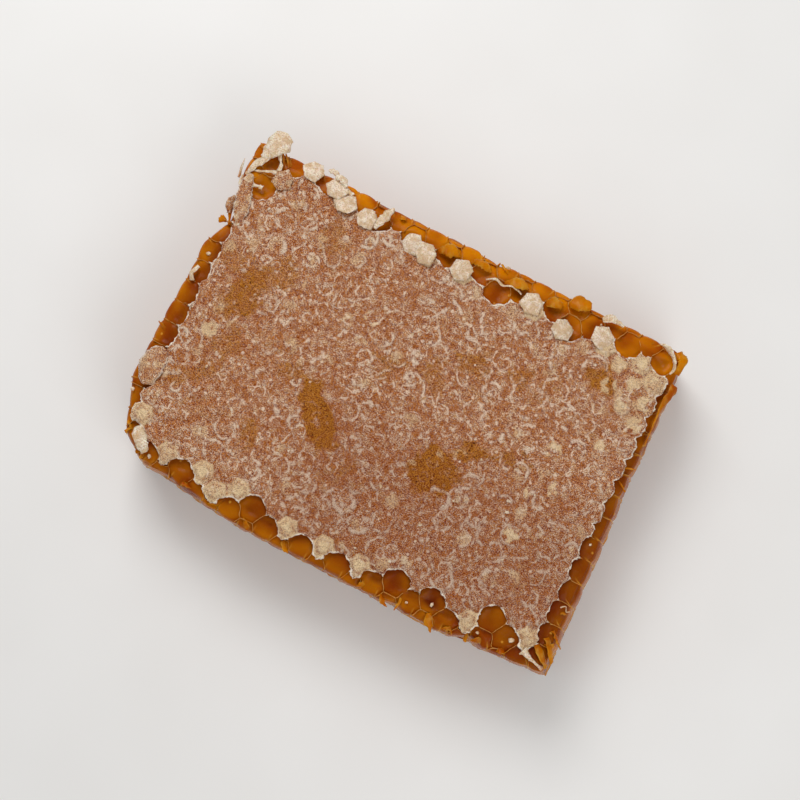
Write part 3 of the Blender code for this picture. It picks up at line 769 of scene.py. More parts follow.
class Paint:
    """A material under construction, with short calls for the nodes it needs."""

    def __init__(self, name):
        self.material = bpy.data.materials.new(name)
        self.material.use_nodes = True
        self.tree = self.material.node_tree
        self.shader = self.tree.nodes["Principled BSDF"]
        self.place = self.node("ShaderNodeTexCoord").outputs["Object"]

    def node(self, kind, settings=(), inputs=()):
        """A new node with its settings and with its inputs set or linked."""
        made = self.tree.nodes.new(kind)
        for key, value in dict(settings).items():
            setattr(made, key, value)
        for key, value in dict(inputs).items():
            self.feed(made.inputs[key], value)
        return made

    def feed(self, socket, value):
        """Links a socket to another one, or sets its value."""
        if isinstance(value, bpy.types.NodeSocket):
            self.tree.links.new(value, socket)
        else:
            socket.default_value = value

    def grain(self, size, detail=2.0):
        """Noise with features of a size in millimetres."""
        inputs = {"Vector": self.place, "Scale": 1 / (size * MM), "Detail": detail}
        return self.node("ShaderNodeTexNoise", inputs=inputs).outputs[0]

    def between(self, value, low, high, start=0.0, end=1.0):
        """A value mapped from its limits to two amounts."""
        inputs = {"Value": value, "From Min": low, "From Max": high, "To Min": start, "To Max": end}
        return self.node("ShaderNodeMapRange", inputs=inputs).outputs[0]

    def value(self, name):
        """An amount stored with the mesh."""
        return self.node("ShaderNodeAttribute", {"attribute_name": name}).outputs["Fac"]

    def count(self, operation, first, second=0.0):
        """One step of arithmetic."""
        return self.node("ShaderNodeMath", {"operation": operation}, {0: first, 1: second}).outputs[0]

    def times(self, first, second):
        """Two amounts multiplied."""
        return self.count("MULTIPLY", first, second)

    def crisp(self, field, grain, low, high):
        """A smooth field cut off sharply, with its edge broken up by grain."""
        broken = self.count("ADD", field, self.between(grain, *CRISP_GRAIN))
        return self.between(broken, low, high)

    def scattered(self, size, sway):
        """Random points a size apart on a level plane, seen through a sway in millimetres."""
        inputs = {"Vector": self.place, "Scale": 1 / (SWAY_GRAIN[0] * MM), "Detail": SWAY_GRAIN[1]}
        noise_colour = self.node("ShaderNodeTexNoise", inputs=inputs).outputs["Color"]
        steps = {0: noise_colour, 1: (sway * MM,) * 3, 2: self.place}
        moved = self.node("ShaderNodeVectorMath", {"operation": "MULTIPLY_ADD"}, steps).outputs[0]
        return self.node("ShaderNodeTexVoronoi", {"voronoi_dimensions": "2D"},
                         {"Vector": moved, "Scale": 1 / (size * MM)})

    def threads(self, size, width, share, least, most):
        """Broken rings of fine pale wax round scattered points."""
        points = self.scattered(size, THREAD_SWAY)
        chance = self.node("ShaderNodeSeparateColor", inputs={0: points.outputs["Color"]})
        radius = self.between(chance.outputs[0], 0.0, 1.0, least, most)
        off = self.count("ABSOLUTE", self.count("SUBTRACT", points.outputs["Distance"], radius))
        ring = self.between(off, width * THREAD_CORE, width, 1.0, 0.0)
        there = self.between(chance.outputs[1], share, share + CHANCE_STEP, 1.0, 0.0)
        return self.times(self.times(ring, there), self.between(self.grain(*BREAK_GRAIN), *BREAK_MASK))

    def dots(self, size, width, share):
        """Small round spots of white wax."""
        points = self.scattered(size, DOT_SWAY)
        chance = self.node("ShaderNodeSeparateColor", inputs={0: points.outputs["Color"]})
        there = self.between(chance.outputs[1], share, share + CHANCE_STEP, 1.0, 0.0)
        dot = self.between(points.outputs["Distance"], width * DOT_CORE, width, 1.0, 0.0)
        return self.times(dot, there)

    def mix(self, share, first, second):
        """Two colours mixed by a share of the second."""
        inputs = {0: share, 6: first, 7: second}
        return self.node("ShaderNodeMix", {"data_type": "RGBA"}, inputs).outputs[2]

    def bump(self, height, depth, normal=None):
        """Bump of a height in millimetres."""
        inputs = {"Height": height, "Distance": depth * MM, "Strength": 1.0}
        if normal is not None:
            inputs["Normal"] = normal
        return self.node("ShaderNodeBump", inputs=inputs).outputs[0]

    def lit_through(self, gloss, share, reach, depth):
        """Sets the gloss, and how far light goes into the material, in millimetres."""
        for key, value in (("Specular IOR Level", gloss), ("Subsurface Weight", share),
                           ("Subsurface Radius", reach), ("Subsurface Scale", depth * MM)):
            self.shader.inputs[key].default_value = value

    def finish(self, **inputs):
        """The material, once its last inputs are linked."""
        for key, value in inputs.items():
            self.feed(self.shader.inputs[key.replace("_", " ")], value)
        return self.material


def capping_wax():
    """Dusty rose wax with cream grain, pale threads and spots, and golden patches."""
    paint = Paint("capping_wax")
    fine, speck, dust = (paint.grain(*size) for size in (CAPPING_FINE, CAPPING_SPECK, CAPPING_DUST))
    mottle, broad = paint.grain(*CAPPING_MOTTLE), paint.grain(*CAPPING_BROAD)
    colour = paint.mix(paint.between(fine, *BASE_MASK), RUST, ROSE)
    light = paint.between(mottle, *LIGHT_MOTTLE)
    colour = paint.mix(paint.times(light, paint.between(fine, *LIGHT_FINE)), colour, SPECK)
    white_grain = paint.times(paint.between(dust, *WHITE_DUST), paint.between(mottle, *WHITE_MOTTLE))
    colour = paint.mix(white_grain, colour, SPARKLE)
    gold = paint.crisp(paint.value("gold"), mottle, *GOLD_EDGE)
    golden_tone = paint.mix(paint.between(fine, *GOLD_FINE), DARK_GOLD, GOLD)
    golden_tone = paint.mix(paint.between(dust, *GOLD_DUST), golden_tone, SPECK)
    colour = paint.mix(gold, colour, golden_tone)
    pits = paint.times(gold, paint.between(paint.grain(*PIT_GRAIN), *GOLD_PITS))
    colour = paint.mix(pits, colour, PIT)
    threads = paint.dots(*DOTS)
    for kind in THREADS:
        threads = paint.count("MAXIMUM", threads, paint.threads(*kind))
    threads = paint.times(threads, paint.between(gold, *THREADS_ON_GOLD))
    cover = paint.value("cream")
    marks = paint.times(paint.crisp(cover, fine, *MARK_EDGE), paint.between(cover, *MARK_COVER))
    white = paint.times(paint.count("MAXIMUM", threads, marks), paint.between(speck, *WHITE_SPECK))
    colour = paint.mix(white, colour, CREAM)
    # Painted shade towards the front right of the capping
    colour = paint.mix(paint.times(paint.value("painted_front_shade"), PAINTED_SHADE_TONE), colour, RUST)
    pale = paint.times(paint.crisp(paint.value("pale"), fine, *PALE_EDGE), paint.value("pale"))
    pale = paint.times(pale, paint.between(fine, *PALE_FINE))
    colour = paint.mix(pale, colour, IVORY)
    colour = paint.mix(paint.crisp(paint.value("rim"), fine, *RIM_EDGE), colour, SPARKLE)
    colour = paint.mix(paint.value("side"), colour, WALL)
    dark_specks = paint.times(paint.between(speck, *DARK_SPECKS), paint.between(pale, *DARK_ON_PALE))
    colour = paint.mix(dark_specks, colour, RUST)
    paint.shader.inputs["Specular IOR Level"].default_value = CAPPING_GLOSS
    normal = None
    for height, depth in ((mottle, MOTTLE_BUMP), (white, WHITE_BUMP), (fine, FINE_BUMP),
                          (speck, SPECK_BUMP)):
        normal = paint.bump(height, depth, normal)
    return paint.finish(Base_Color=colour, Normal=normal, Roughness=paint.between(broad, *CAPPING_ROUGH))


def honey():
    """Clear amber honey, with painted shade where its mesh says, and thin wax walls."""
    paint = Paint("honey")
    broad, fine = paint.grain(*HONEY_BROAD), paint.grain(*HONEY_FINE)
    colour = paint.mix(paint.between(broad, *HONEY_TONE), DEEP_AMBER, AMBER)
    # Painted shade from the mesh darkens the honey towards a shaded amber
    colour = paint.mix(paint.value("deep"), colour, SHADED_AMBER)
    colour = paint.mix(paint.times(paint.dots(*BUBBLES), BUBBLE_TONE), colour, WALL)
    wall = paint.times(paint.value("wax"), paint.between(fine, *HONEY_WALL))
    colour = paint.mix(wall, colour, WALL)
    normal = paint.bump(fine, HONEY_BUMPS[0], paint.bump(broad, HONEY_BUMPS[1]))
    paint.shader.inputs["IOR"].default_value = HONEY_IOR
    paint.lit_through(HONEY_GLOSS, *HONEY_THROUGH)
    return paint.finish(Base_Color=colour, Normal=normal, Roughness=paint.between(fine, *HONEY_ROUGH))


def pale_wax(name, low, high):
    """Thin wax between two tones, rosy or honey-coloured where its values say so."""
    paint = Paint(name)
    fine, broad = paint.grain(*THIN_FINE), paint.grain(*THIN_BROAD)
    colour = paint.mix(paint.between(broad, *THIN_TONE), low, high)
    colour = paint.mix(paint.between(fine, *THIN_SHADE), colour, SHADE)
    rosy = paint.times(paint.value("rosy"), paint.between(fine, *THIN_ROSY))
    colour = paint.mix(rosy, colour, ROSE)
    colour = paint.mix(paint.value("honeyed"), colour, AMBER)
    paint.lit_through(THIN_GLOSS, *THIN_THROUGH)
    normal = paint.bump(fine, PALE_BUMPS[0], paint.bump(broad, PALE_BUMPS[1]))
    return paint.finish(Base_Color=colour, Normal=normal, Roughness=paint.between(fine, *THIN_ROUGH))


def patch_grid(cells, fine):
    """Fine triangles over a patch of cells, with what each point needs to be shaped."""
    shares = [(i, j) for i in range(fine + 1) for j in range(fine + 1 - i)]
    index = {share: k for k, share in enumerate(shares)}
    tris = [(index[i, j], index[i + 1, j], index[i, j + 1])
            for i in range(fine) for j in range(fine - i)]
    tris += [(index[i + 1, j], index[i + 1, j + 1], index[i, j + 1])
             for i in range(fine) for j in range(fine - i - 1)]
    corners = np.array(HEXAGON_STEPS)
    i, j = np.array(shares).T
    middles = np.array([(3 * column, 2 * row + column % 2) for column, row in cells]) * fine
    spokes = (corners[:, None] * i[:, None] + np.roll(corners, -1, 0)[:, None] * j[:, None])
    raw = (middles[:, None, None] + spokes[None]).reshape(-1, 2)
    keys = (raw[:, 0] + KEY_SHIFT) * KEY_STEP + raw[:, 1] + KEY_SHIFT
    _, first, inverse = np.unique(keys, return_index=True, return_inverse=True)
    count = len(shares)
    sector = np.arange(len(cells) * SIDES)[:, None, None] * count
    faces = inverse.reshape(-1)[(np.array(tris)[None] + sector).reshape(-1, 3)]
    x = LATTICE_X + raw[first, 0] * COLUMN / 3 / fine
    y = LATTICE_Y + raw[first, 1] * HALF_ROW / fine
    radial = (i + j) / fine
    turn = np.where(i + j > 0, (j - i) / np.maximum(i + j, 1), 0)
    owner = first // (SIDES * count)
    return {"x": x, "y": y, "faces": faces, "owner": owner, "radial": radial[first % count],
            "raw_radial": radial, "raw_turn": turn, "inverse": inverse.reshape(len(cells), SIDES, count)}


def border_run(faces):
    """Points round the open border of a triangle mesh, in order."""
    edges = np.concatenate([faces[:, [0, 1]], faces[:, [1, 2]], faces[:, [2, 0]]])
    known = {(int(a), int(b)) for a, b in edges}
    step = {a: b for a, b in known if (b, a) not in known}
    run = [min(step)]
    while step[run[-1]] != run[0]:
        run.append(step[run[-1]])
    return run


def border_bows(cells):
    """How each free side of a capped cell bows out, hollow beside an opened cell."""
    capped = set(cells)
    draw = random.Random(SEED)
    bows = {}
    for column, row in cells:
        for side in range(SIDES):
            neighbour = beside(column, row, side)
            if neighbour not in capped:
                hollow = open_at_top(*neighbour)
                bow = -draw.uniform(*BOW_IN) if hollow else draw.uniform(*BOW_OUT)
                toward = Vector(cell_centre(*neighbour)) - Vector(cell_centre(column, row))
                bows[column, row, side] = np.array(toward.normalized()) * bow
    return bows


def edge_shape(grid, cells, bows):
    """Scallops the border of a patch by the bow of each free side."""
    fall = (1 - grid["raw_turn"] ** 2) * grid["raw_radial"] ** 3
    shift = np.zeros((len(grid["x"]), 2))
    for place, (column, row) in enumerate(cells):
        for side in range(SIDES):
            if (column, row, side) in bows:
                shift[grid["inverse"][place, side]] += fall[:, None] * bows[column, row, side]
    grid["x"] = grid["x"] + shift[:, 0]
    grid["y"] = grid["y"] + shift[:, 1]


def back_fans(grid, cells, fine, ring_index, count):
    """Coarse fans that close the back of a patch: points to copy, and faces over them."""
    shares = [(i, j) for i in range(fine + 1) for j in range(fine + 1 - i)]
    outer = [shares.index((fine - j, j)) for j in range(fine)]
    middle = shares.index((0, 0))
    copied, index_of = [], dict(ring_index)
    faces = []
    for place in range(len(cells)):
        ring = []
        for side in range(SIDES):
            corners = [int(grid["inverse"][place, side, k]) for k in outer]
            on_border = all(k in ring_index for k in corners)
            ring += corners if on_border else corners[:1]
        hub = int(grid["inverse"][place, 0, middle])
        for k in ring + [hub]:
            if k not in index_of:
                index_of[k] = count + len(copied)
                copied.append(k)
        faces += [(index_of[b], index_of[a], index_of[hub]) for a, b in around(ring)]
    return copied, faces


def tip_shape(grid, cells):
    """Rounds off the corners that stick out of a patch."""
    seen = {}
    for column, row in cells:
        for corner in hexagon(*cell_centre(column, row)):
            key = (round(corner[0], 2), round(corner[1], 2))
            seen.setdefault(key, []).append((column, row))
    x, y = grid["x"], grid["y"]
    for corner, owners in seen.items():
        if len(owners) == 1:
            away = np.hypot(x - corner[0], y - corner[1]) / TIP_REACH
            pull = TIP_ROUND * np.clip(1 - away ** 2, 0, 1)
            home = Vector(cell_centre(*owners[0])) - Vector(corner)
            home.normalize()
            x = x + pull * home.x
            y = y + pull * home.y
    grid["x"], grid["y"] = x, y


def border_distance(grid, run):
    """Distance of each point from the border of its patch."""
    tree = kdtree.KDTree(len(run))
    for k in run:
        tree.insert((grid["x"][k], grid["y"][k], 0), k)
    tree.balance()
    return np.array([tree.find((x, y, 0))[2] for x, y in zip(grid["x"], grid["y"])])


def draw_marks(cells):
    """Arcs, bars and spots of pale wax: place, radius, start, sweep, width and strength."""
    draw = random.Random(SEED)
    marks = []
    for column, row in cells:
        x, y = cell_centre(column, row)
        for chance, radius, sweep, width in MARK_KINDS:
            if draw.random() < chance:
                size = draw.uniform(*radius)
                spread = SMALL_MARK_SPREAD if size < MARK_SMALL else MARK_SPREAD
                turn = draw.uniform(0, math.tau)
                off = draw.uniform(0, spread) + (size if size > MARK_LARGE else 0)
                marks.append((x + off * math.cos(turn), y + off * math.sin(turn), size,
                              turn + math.pi + draw.uniform(-MARK_SWAY, MARK_SWAY),
                              draw.uniform(*sweep), draw.uniform(*width), draw.uniform(*MARK_STRENGTH)))
    return marks


def mark_relief(x, y, marks):
    """How strongly the pale marks cover each point."""
    warp_x = x + rough(x, y, MARK_WARP_X)
    warp_y = y + rough(x, y, MARK_WARP_Y)
    cover = np.zeros(len(x))
    order = np.argsort(x)
    sorted_x = x[order]
    for mark_x, mark_y, radius, start, sweep, width, strength in marks:
        reach = radius + MARK_MARGIN
        low, high = np.searchsorted(sorted_x, (mark_x - reach, mark_x + reach))
        near = order[low:high]
        near = near[np.abs(y[near] - mark_y) < reach]
        across, up = warp_x[near] - mark_x, warp_y[near] - mark_y
        angle = (np.arctan2(up, across) - start + sweep / 2) % math.tau
        tips = [np.hypot(across - radius * math.cos(end), up - radius * math.sin(end))
                for end in (start - sweep / 2, start + sweep / 2)]
        away = np.where(angle < sweep, np.abs(np.hypot(across, up) - radius), np.minimum(*tips))
        cover[near] = np.maximum(cover[near], strength * hill(away, width))
    return cover * (MARK_LEAST + (1 - MARK_LEAST) * smooth(rough(x, y, MARK_GAPS), *MARK_STEP))


def golden(x, y):
    """Strength of the golden patches at each point, with uneven edges."""
    warp_x = x + rough(x, y, GOLD_WARP_X) - LATTICE_X
    warp_y = y + rough(x, y, GOLD_WARP_Y) - LATTICE_Y
    cover = GOLD_STAIN * smooth(rough(x, y, GOLD_STAINS), *GOLD_STAIN_STEP)
    for patch_x, patch_y, reach_x, reach_y, turn, strength in GOLD_PATCHES:
        cosine, sine = math.cos(math.radians(turn)), math.sin(math.radians(turn))
        across = (warp_x - patch_x) * cosine + (warp_y - patch_y) * sine
        up = (warp_y - patch_y) * cosine - (warp_x - patch_x) * sine
        away = np.hypot(across / reach_x, up / reach_y)
        cover = np.maximum(cover, strength * (1 - smooth(away, *GOLD_FADE)))
    return cover


def open_at_top(column, row):
    """True where the knife or a tear opened a cell that still holds honey."""
    return inside(cell_centre(column, row), knife_outline(UPPER_RIM, OPEN_INSET))


def pale_cover(x, y, inner, seam, cells, owner, tones):
    """How white each point is: the pale caps, spots and stray caps, and a film at a corner."""
    listed = np.array([cell in PALE_CAPS for cell in cells])[owner]
    spotted = np.array([cell in PALE_SPOTS for cell in cells])[owner]
    patchy = smooth(rough(x, y, PATCHY), *PATCHY_STEP)
    ringed = 1 - RING_DEPTH * hill(inner - RING_PLACE, RING_WIDTH)
    film = smooth(x, *FILM_X) * smooth(y, *FILM_Y) * smooth(rough(x, y, FILM_BREAKS), *FILM_STEP)
    # The listed caps are painted darker at their seams, a painted shade in the creases between them
    covers = [LISTED_PALE * listed * ringed * (1 - SEAM_SHADE * seam)
              * (PATCHY_EVEN + (1 - PATCHY_EVEN) * patchy),
              SPOTTED_PALE * spotted * (1 - smooth(inner, *SPOT_FADE)) * patchy,
              STRAY_PALE * patchy * (tones[owner] > STRAY_TONE) * (1 - smooth(inner, *STRAY_FADE)),
              FILM_PALE * film * (FILM_EVEN + (1 - FILM_EVEN) * patchy)]
    return np.max(covers, axis=0), listed


def rim_cover(x, y, edge, bows):
    """How strongly a white line of torn wax shows at each point of the rim."""
    cusps = np.zeros(len(x))
    for column, row, side in bows:
        for corner in (hexagon(*cell_centre(column, row)) * 2)[side:side + 2]:
            cusps = np.maximum(cusps, hill(np.hypot(x - corner[0], y - corner[1]), CUSP_REACH))
    torn = smooth(rough(x, y, TORN_RIM), *TORN_STEP)
    return hill(edge, RIM_PALE) * np.clip(RIM_BASE + RIM_TORN * torn + RIM_CUSPS * cusps, 0, 1)


def make_top_capping(material):
    """The wavy capping of the top face with its marks, patches and scalloped edge."""
    cells = top_capped_cells()
    bows = border_bows(cells)
    draw = random.Random(SEED)
    grid = patch_grid(cells, TOP_FINE)
    run = border_run(grid["faces"])
    edge_shape(grid, cells, bows)
    tip_shape(grid, cells)
    edge = border_distance(grid, run)
    x, y = grid["x"], grid["y"]
    ragged = RAGGED * np.clip(1 - edge / RAGGED_REACH, 0, 1)
    x = x + ragged * rough(x, y, RAGGED_X)
    y = y + ragged * rough(x, y, RAGGED_Y)
    fray = np.random.default_rng(SEED).uniform(-RIM_FRAY, RIM_FRAY, (2, len(run)))
    x[run] += fray[0]
    y[run] += fray[1]
    rises = np.array([CAP_DOME + CAP_UNEVEN * draw.uniform(-1, 1) + PALE_RISE * (cell in PALE_CAPS)
                      for cell in cells])
    tones = np.array([draw.random() for _ in cells])
    inner, owner = grid["radial"], grid["owner"]
    seam = smooth(inner, *SEAM_INNER) * smooth(edge, *SEAM_EDGE)
    cream = mark_relief(x, y, draw_marks(cells))
    gold = golden(x, y)
    pale, listed = pale_cover(x, y, inner, seam, cells, owner, tones)
    ring_place, ring_width, ring_height = CAP_RING
    z = HEIGHT + wave(x, y) + rises[owner] * (1 - inner ** DOME_POWER)
    z += MARK_HEIGHT * cream + rough(x, y, TOP_BUMPS) - RIM_DROP * hill(edge, RIM_FALL)
    z += LIP_HEIGHT * hill(edge, LIP_REACH) * (LIP_EVEN + rough(x, y, LIP_BREAKS))
    z += listed * (ring_height * hill(inner - ring_place, ring_width) - SEAM_DEPTH * seam)
    z -= GOLD_DEPTH * gold
    top = np.column_stack([x, y, z])
    ring = top[run]
    faces = grid["faces"].tolist()
    points = [top]
    # The painted front shade darkens the capping towards the front right
    values = {"cream": [np.clip(cream * (1 - GOLD_HIDES * np.clip(gold, 0, 1)), 0, 1)], "gold": [gold],
              "pale": [pale], "rim": [rim_cover(x, y, edge, bows)],
              "painted_front_shade": [smooth(x, *PAINTED_SHADE_X) * (1 - smooth(y, *PAINTED_SHADE_Y))], "side": [np.zeros(len(x))]}
    inward = run_inward(ring)
    last = np.array(run)
    count = len(top)
    for inset, drop, pale_side, wall_side in SKIN_RINGS:
        level = ring.copy()
        level[:, :2] += inward * inset
        level[:, 2] = SKIN_FOOT if drop is None else ring[:, 2] - drop
        here = count + np.arange(len(run))
        faces += np.column_stack([np.roll(last, -1), last, here, np.roll(here, -1)]).tolist()
        points.append(level)
        for key, parts in values.items():
            parts.append(np.full(len(run), {"rim": pale_side, "side": wall_side}.get(key, 0.0)))
        last = here
        count += len(run)
    ring_index = {int(top_place): int(low_place) for top_place, low_place in zip(run, last)}
    copied, fans = back_fans(grid, cells, TOP_FINE, ring_index, count)
    low = top[copied]
    low[:, 2] = SKIN_FOOT
    points.append(low)
    values = {key: np.concatenate(parts + [np.zeros(len(copied))]) for key, parts in values.items()}
    add_piece("top_capping_skin", np.concatenate(points), faces + fans, material,
              "wax_capping", ["top_capping"], **values)


def run_inward(ring):
    """Unit vectors that point inwards from each point of a counter-clockwise run."""
    along = np.roll(ring[:, :2], -1, 0) - np.roll(ring[:, :2], 1, 0)
    along /= np.maximum(np.linalg.norm(along, axis=1), TINY)[:, None]
    return np.column_stack([-along[:, 1], along[:, 0]])


def pulled_inside(x, y, outline):
    """Points moved to the nearest side of a convex outline where they lie outside it."""
    for a, b in around(outline):
        length = math.dist(a, b)
        along = ((b[0] - a[0]) / length, (b[1] - a[1]) / length)
        away = np.minimum(0, along[0] * (y - a[1]) - along[1] * (x - a[0]))
        x, y = x + along[1] * away, y - along[0] * away
    return x, y


def make_under_capping(material):
    """The capping of the underside, with its cells pressed flat where the piece lies."""
    cells = bottom_capped_cells()
    grid = patch_grid(cells, UNDER_FINE)
    run = border_run(grid["faces"])
    x, y = pulled_inside(grid["x"] + LOWER_SHIFT_X, grid["y"], knife_outline(0.0, UNDER_INSET))
    z = UNDER_RISE * smooth(grid["radial"], *UNDER_RISE_STEP) * (UNDER_EVEN + rough(x, y, UNDER_WAVES))
    z += UNDER_LEAST + rough(x, y, UNDER_BUMPS)
    low = np.column_stack([x, y, z])
    ring = low[run]
    high = ring.copy()
    high[:, 2] = BOTTOM_CAPPING
    middle = ring.copy()
    middle[:, :2] -= run_inward(ring) * UNDER_SWELL
    middle[:, 2] = BOTTOM_CAPPING / 2
    faces = grid["faces"][:, ::-1].tolist()
    points = [low]
    count, last = len(low), np.array(run)
    for level in (middle, high):
        here = count + np.arange(len(run))
        faces += np.column_stack([last, np.roll(last, -1), np.roll(here, -1), here]).tolist()
        points.append(level)
        last = here
        count += len(run)
    ring_index = {int(low_place): int(top_place) for low_place, top_place in zip(run, last)}
    copied, fans = back_fans(grid, cells, UNDER_FINE, ring_index, count)
    high = low[copied]
    high[:, 2] = BOTTOM_CAPPING
    points = np.concatenate(points + [high])
    faces += [fan[::-1] for fan in fans]
    x, y = points[:, 0], points[:, 1]
    side = np.zeros(len(points))
    side[len(low):] = UNDER_SIDE
    add_piece("under_capping_skin", points, faces, material, "wax_capping", ["bottom_capping"],
              cream=smooth(rough(x, y, UNDER_CREAM), *UNDER_CREAM_STEP),
              gold=UNDER_GOLD_MOST * smooth(rough(x, y, UNDER_GOLD), *UNDER_GOLD_STEP), side=side)


def cut_columns(z, centres, draw):
    """Fine places round the cut, close together at the cell walls."""
    rows = []
    lobe = 0
    for edge, (a, b) in enumerate(around(knife_outline(z))):
        length = math.dist(a, b)
        marks = wall_marks(a, b, centres)
        for first, second in zip(marks, marks[1:]):
            width = (second - first) * length
            swell = draw.uniform(SWELL_LEAST, SWELL_MOST)
            steps = max(LEAST_STEPS, round(width / CUT_STEP))
            for k in range(steps):
                t = k / steps
                t -= CUT_CROWD * math.sin(math.tau * t) / math.tau
                rows.append((edge, first + (second - first) * t, t, width, swell, lobe))
            lobe += 1
    keys = ("edge", "share", "across", "width", "swell", "lobe")
    return {key: np.array(run) for key, run in zip(keys, zip(*rows))}


def cut_ring(columns, z, inset, slide, depth):
    """Points round the cut at a height, moved inwards by an inset and each depth."""
    outline = np.array(knife_outline(z, inset))
    a, b = outline[columns["edge"]], outline[(columns["edge"] + 1) % len(outline)]
    length = np.linalg.norm(b - a, axis=1)
    along = (b - a) / length[:, None]
    distance = columns["share"] * length
    fade = np.clip(np.minimum(distance, length - distance) / LEAN_FADE, 0, 1)
    point = a + along * (distance + slide * along[:, 0] * fade)[:, None]
    depth = np.array(depth, float)
    for x, y, reach, most in BITES:
        away = np.hypot(point[:, 0] - LATTICE_X - x, point[:, 1] - LATTICE_Y - y) / reach
        depth += most * np.clip(1 - away ** 2, 0, 1) * z / HEIGHT
    inward = np.column_stack([-along[:, 1], along[:, 0]])
    point = point + inward * depth[:, None]
    return np.column_stack([point, np.full(len(point), z)])


def cut_ripple(place, z, spread, size, seed):
    """Unevenness at a place along the cut and a height."""
    return ripple(place * spread, z, size, seed)


def cut_depth(columns, z):
    """Depth of the cut face at a height, how much of it is wall, and where it is drained."""
    lobe, across = columns["lobe"], columns["across"]
    full = 1 - np.abs(2 * across - 1) ** LOBE_POWER
    uneven = SWELL_EVEN + (1 - SWELL_EVEN) * cut_ripple(lobe, z, *FACE_UNEVEN)
    depth = GROOVE * (1 - full) - columns["swell"] * full * uneven
    spread, size, seed = FACE_BUMPS
    depth += FACE_BUMP_HEIGHT * full * ripple(lobe * spread + across * FACE_BUMP_TURN, z, size, seed)
    drained = smooth(cut_ripple(lobe, z, *FACE_DRAINED), *DRAINED_STEP) * full
    depth += DRAINED_DEPTH * drained
    wall = hill(np.minimum(across, 1 - across) * columns["width"], FIN_WIDTH)
    uneven = FIN_EVEN + (1 - FIN_EVEN) * cut_ripple(lobe + (across > 0.5), z, *FIN_UNEVEN)
    return depth - FIN_HEIGHT * uneven * wall, wall, drained


def open_field(x, y, inset, capped, shift, climb_reach):
    """Height of the honey above an opened rim, with what is capped standing higher."""
    column, row, spread = cell_of(x, y, shift)
    from_wall = (1 - spread) * HALF_ROW
    covered = np.array([(c, r) in capped for c, r in zip(column.tolist(), row.tolist())])
    table = np.random.default_rng(SEED).uniform(0, 1, (OPEN_TABLE, OPEN_TABLE, 2))
    draw = table[column % OPEN_TABLE, row % OPEN_TABLE]
    whole = smooth(inset, *WHOLE_STEP)
    bowl = BOWL_LEAST + (BOWL_MOST - BOWL_LEAST) * draw[:, 0]
    cut_flat = 1 - CUT_FLAT * smooth(x, RIGHT_FLAT - 1, RIGHT_FLAT)
    lobe = cut_flat * (LOBE_LEAST + (LOBE_MOST - LOBE_LEAST) * draw[:, 1])
    rise = lobe * (1 - whole) - bowl * whole
    climb = CLIMB * smooth(inset, 0.0, climb_reach)
    height = climb + rise * (1 - spread ** 2) + rough(x, y, OPEN_BUMPS)
    height -= cut_flat * CREASE * (1 - whole) * hill(from_wall, CREASE_WIDTH)
    hidden = covered * smooth(from_wall, *HIDDEN_STEP)
    ceiling = OPEN_DEPTH - UNDER_CAP_GAP * (1 - hidden)
    return np.where(covered, np.minimum(climb, ceiling), height), hidden


def ring_faces(rings, count):
    """Faces between rings of points, and the places of the first and the last ring."""
    grid = np.arange(rings * count).reshape(rings, count)
    after = np.roll(grid, -1, 1)
    quads = np.stack([grid[:-1], after[:-1], after[1:], grid[1:]], -1).reshape(-1, 4)
    return quads.tolist(), grid[0].tolist(), grid[-1].tolist()


def hubbed_faces(rings, count):
    """Faces of a body whose first and last ring close to the two points after them all."""
    quads, first, last = ring_faces(rings, count)
    hub = rings * count
    return quads + [(b, a, hub) for a, b in around(first)] + [(a, b, hub + 1) for a, b in around(last)]


def open_shade(ring, inset, sunk, covered):
    """Painted shade on the honey in the opened cells: at the front and more so on the right, where it is
    sunk, under the capping and away from the rim, less at the back.
    """
    back = smooth(ring[:, 1], *BRIGHT_BACK)
    shade = FRONT_SHADE * (1 - back) * (1 + smooth(ring[:, 0], *DARK_RIGHT))
    shade += SUNK_SHADE * smooth(sunk, *SUNK_STEP) + COVERED_SHADE * covered
    shade += INNER_SHADE * smooth(inset, *INNER_STEP)
    return np.clip(shade * (1 - BACK_LIGHT * back), 0, 1)


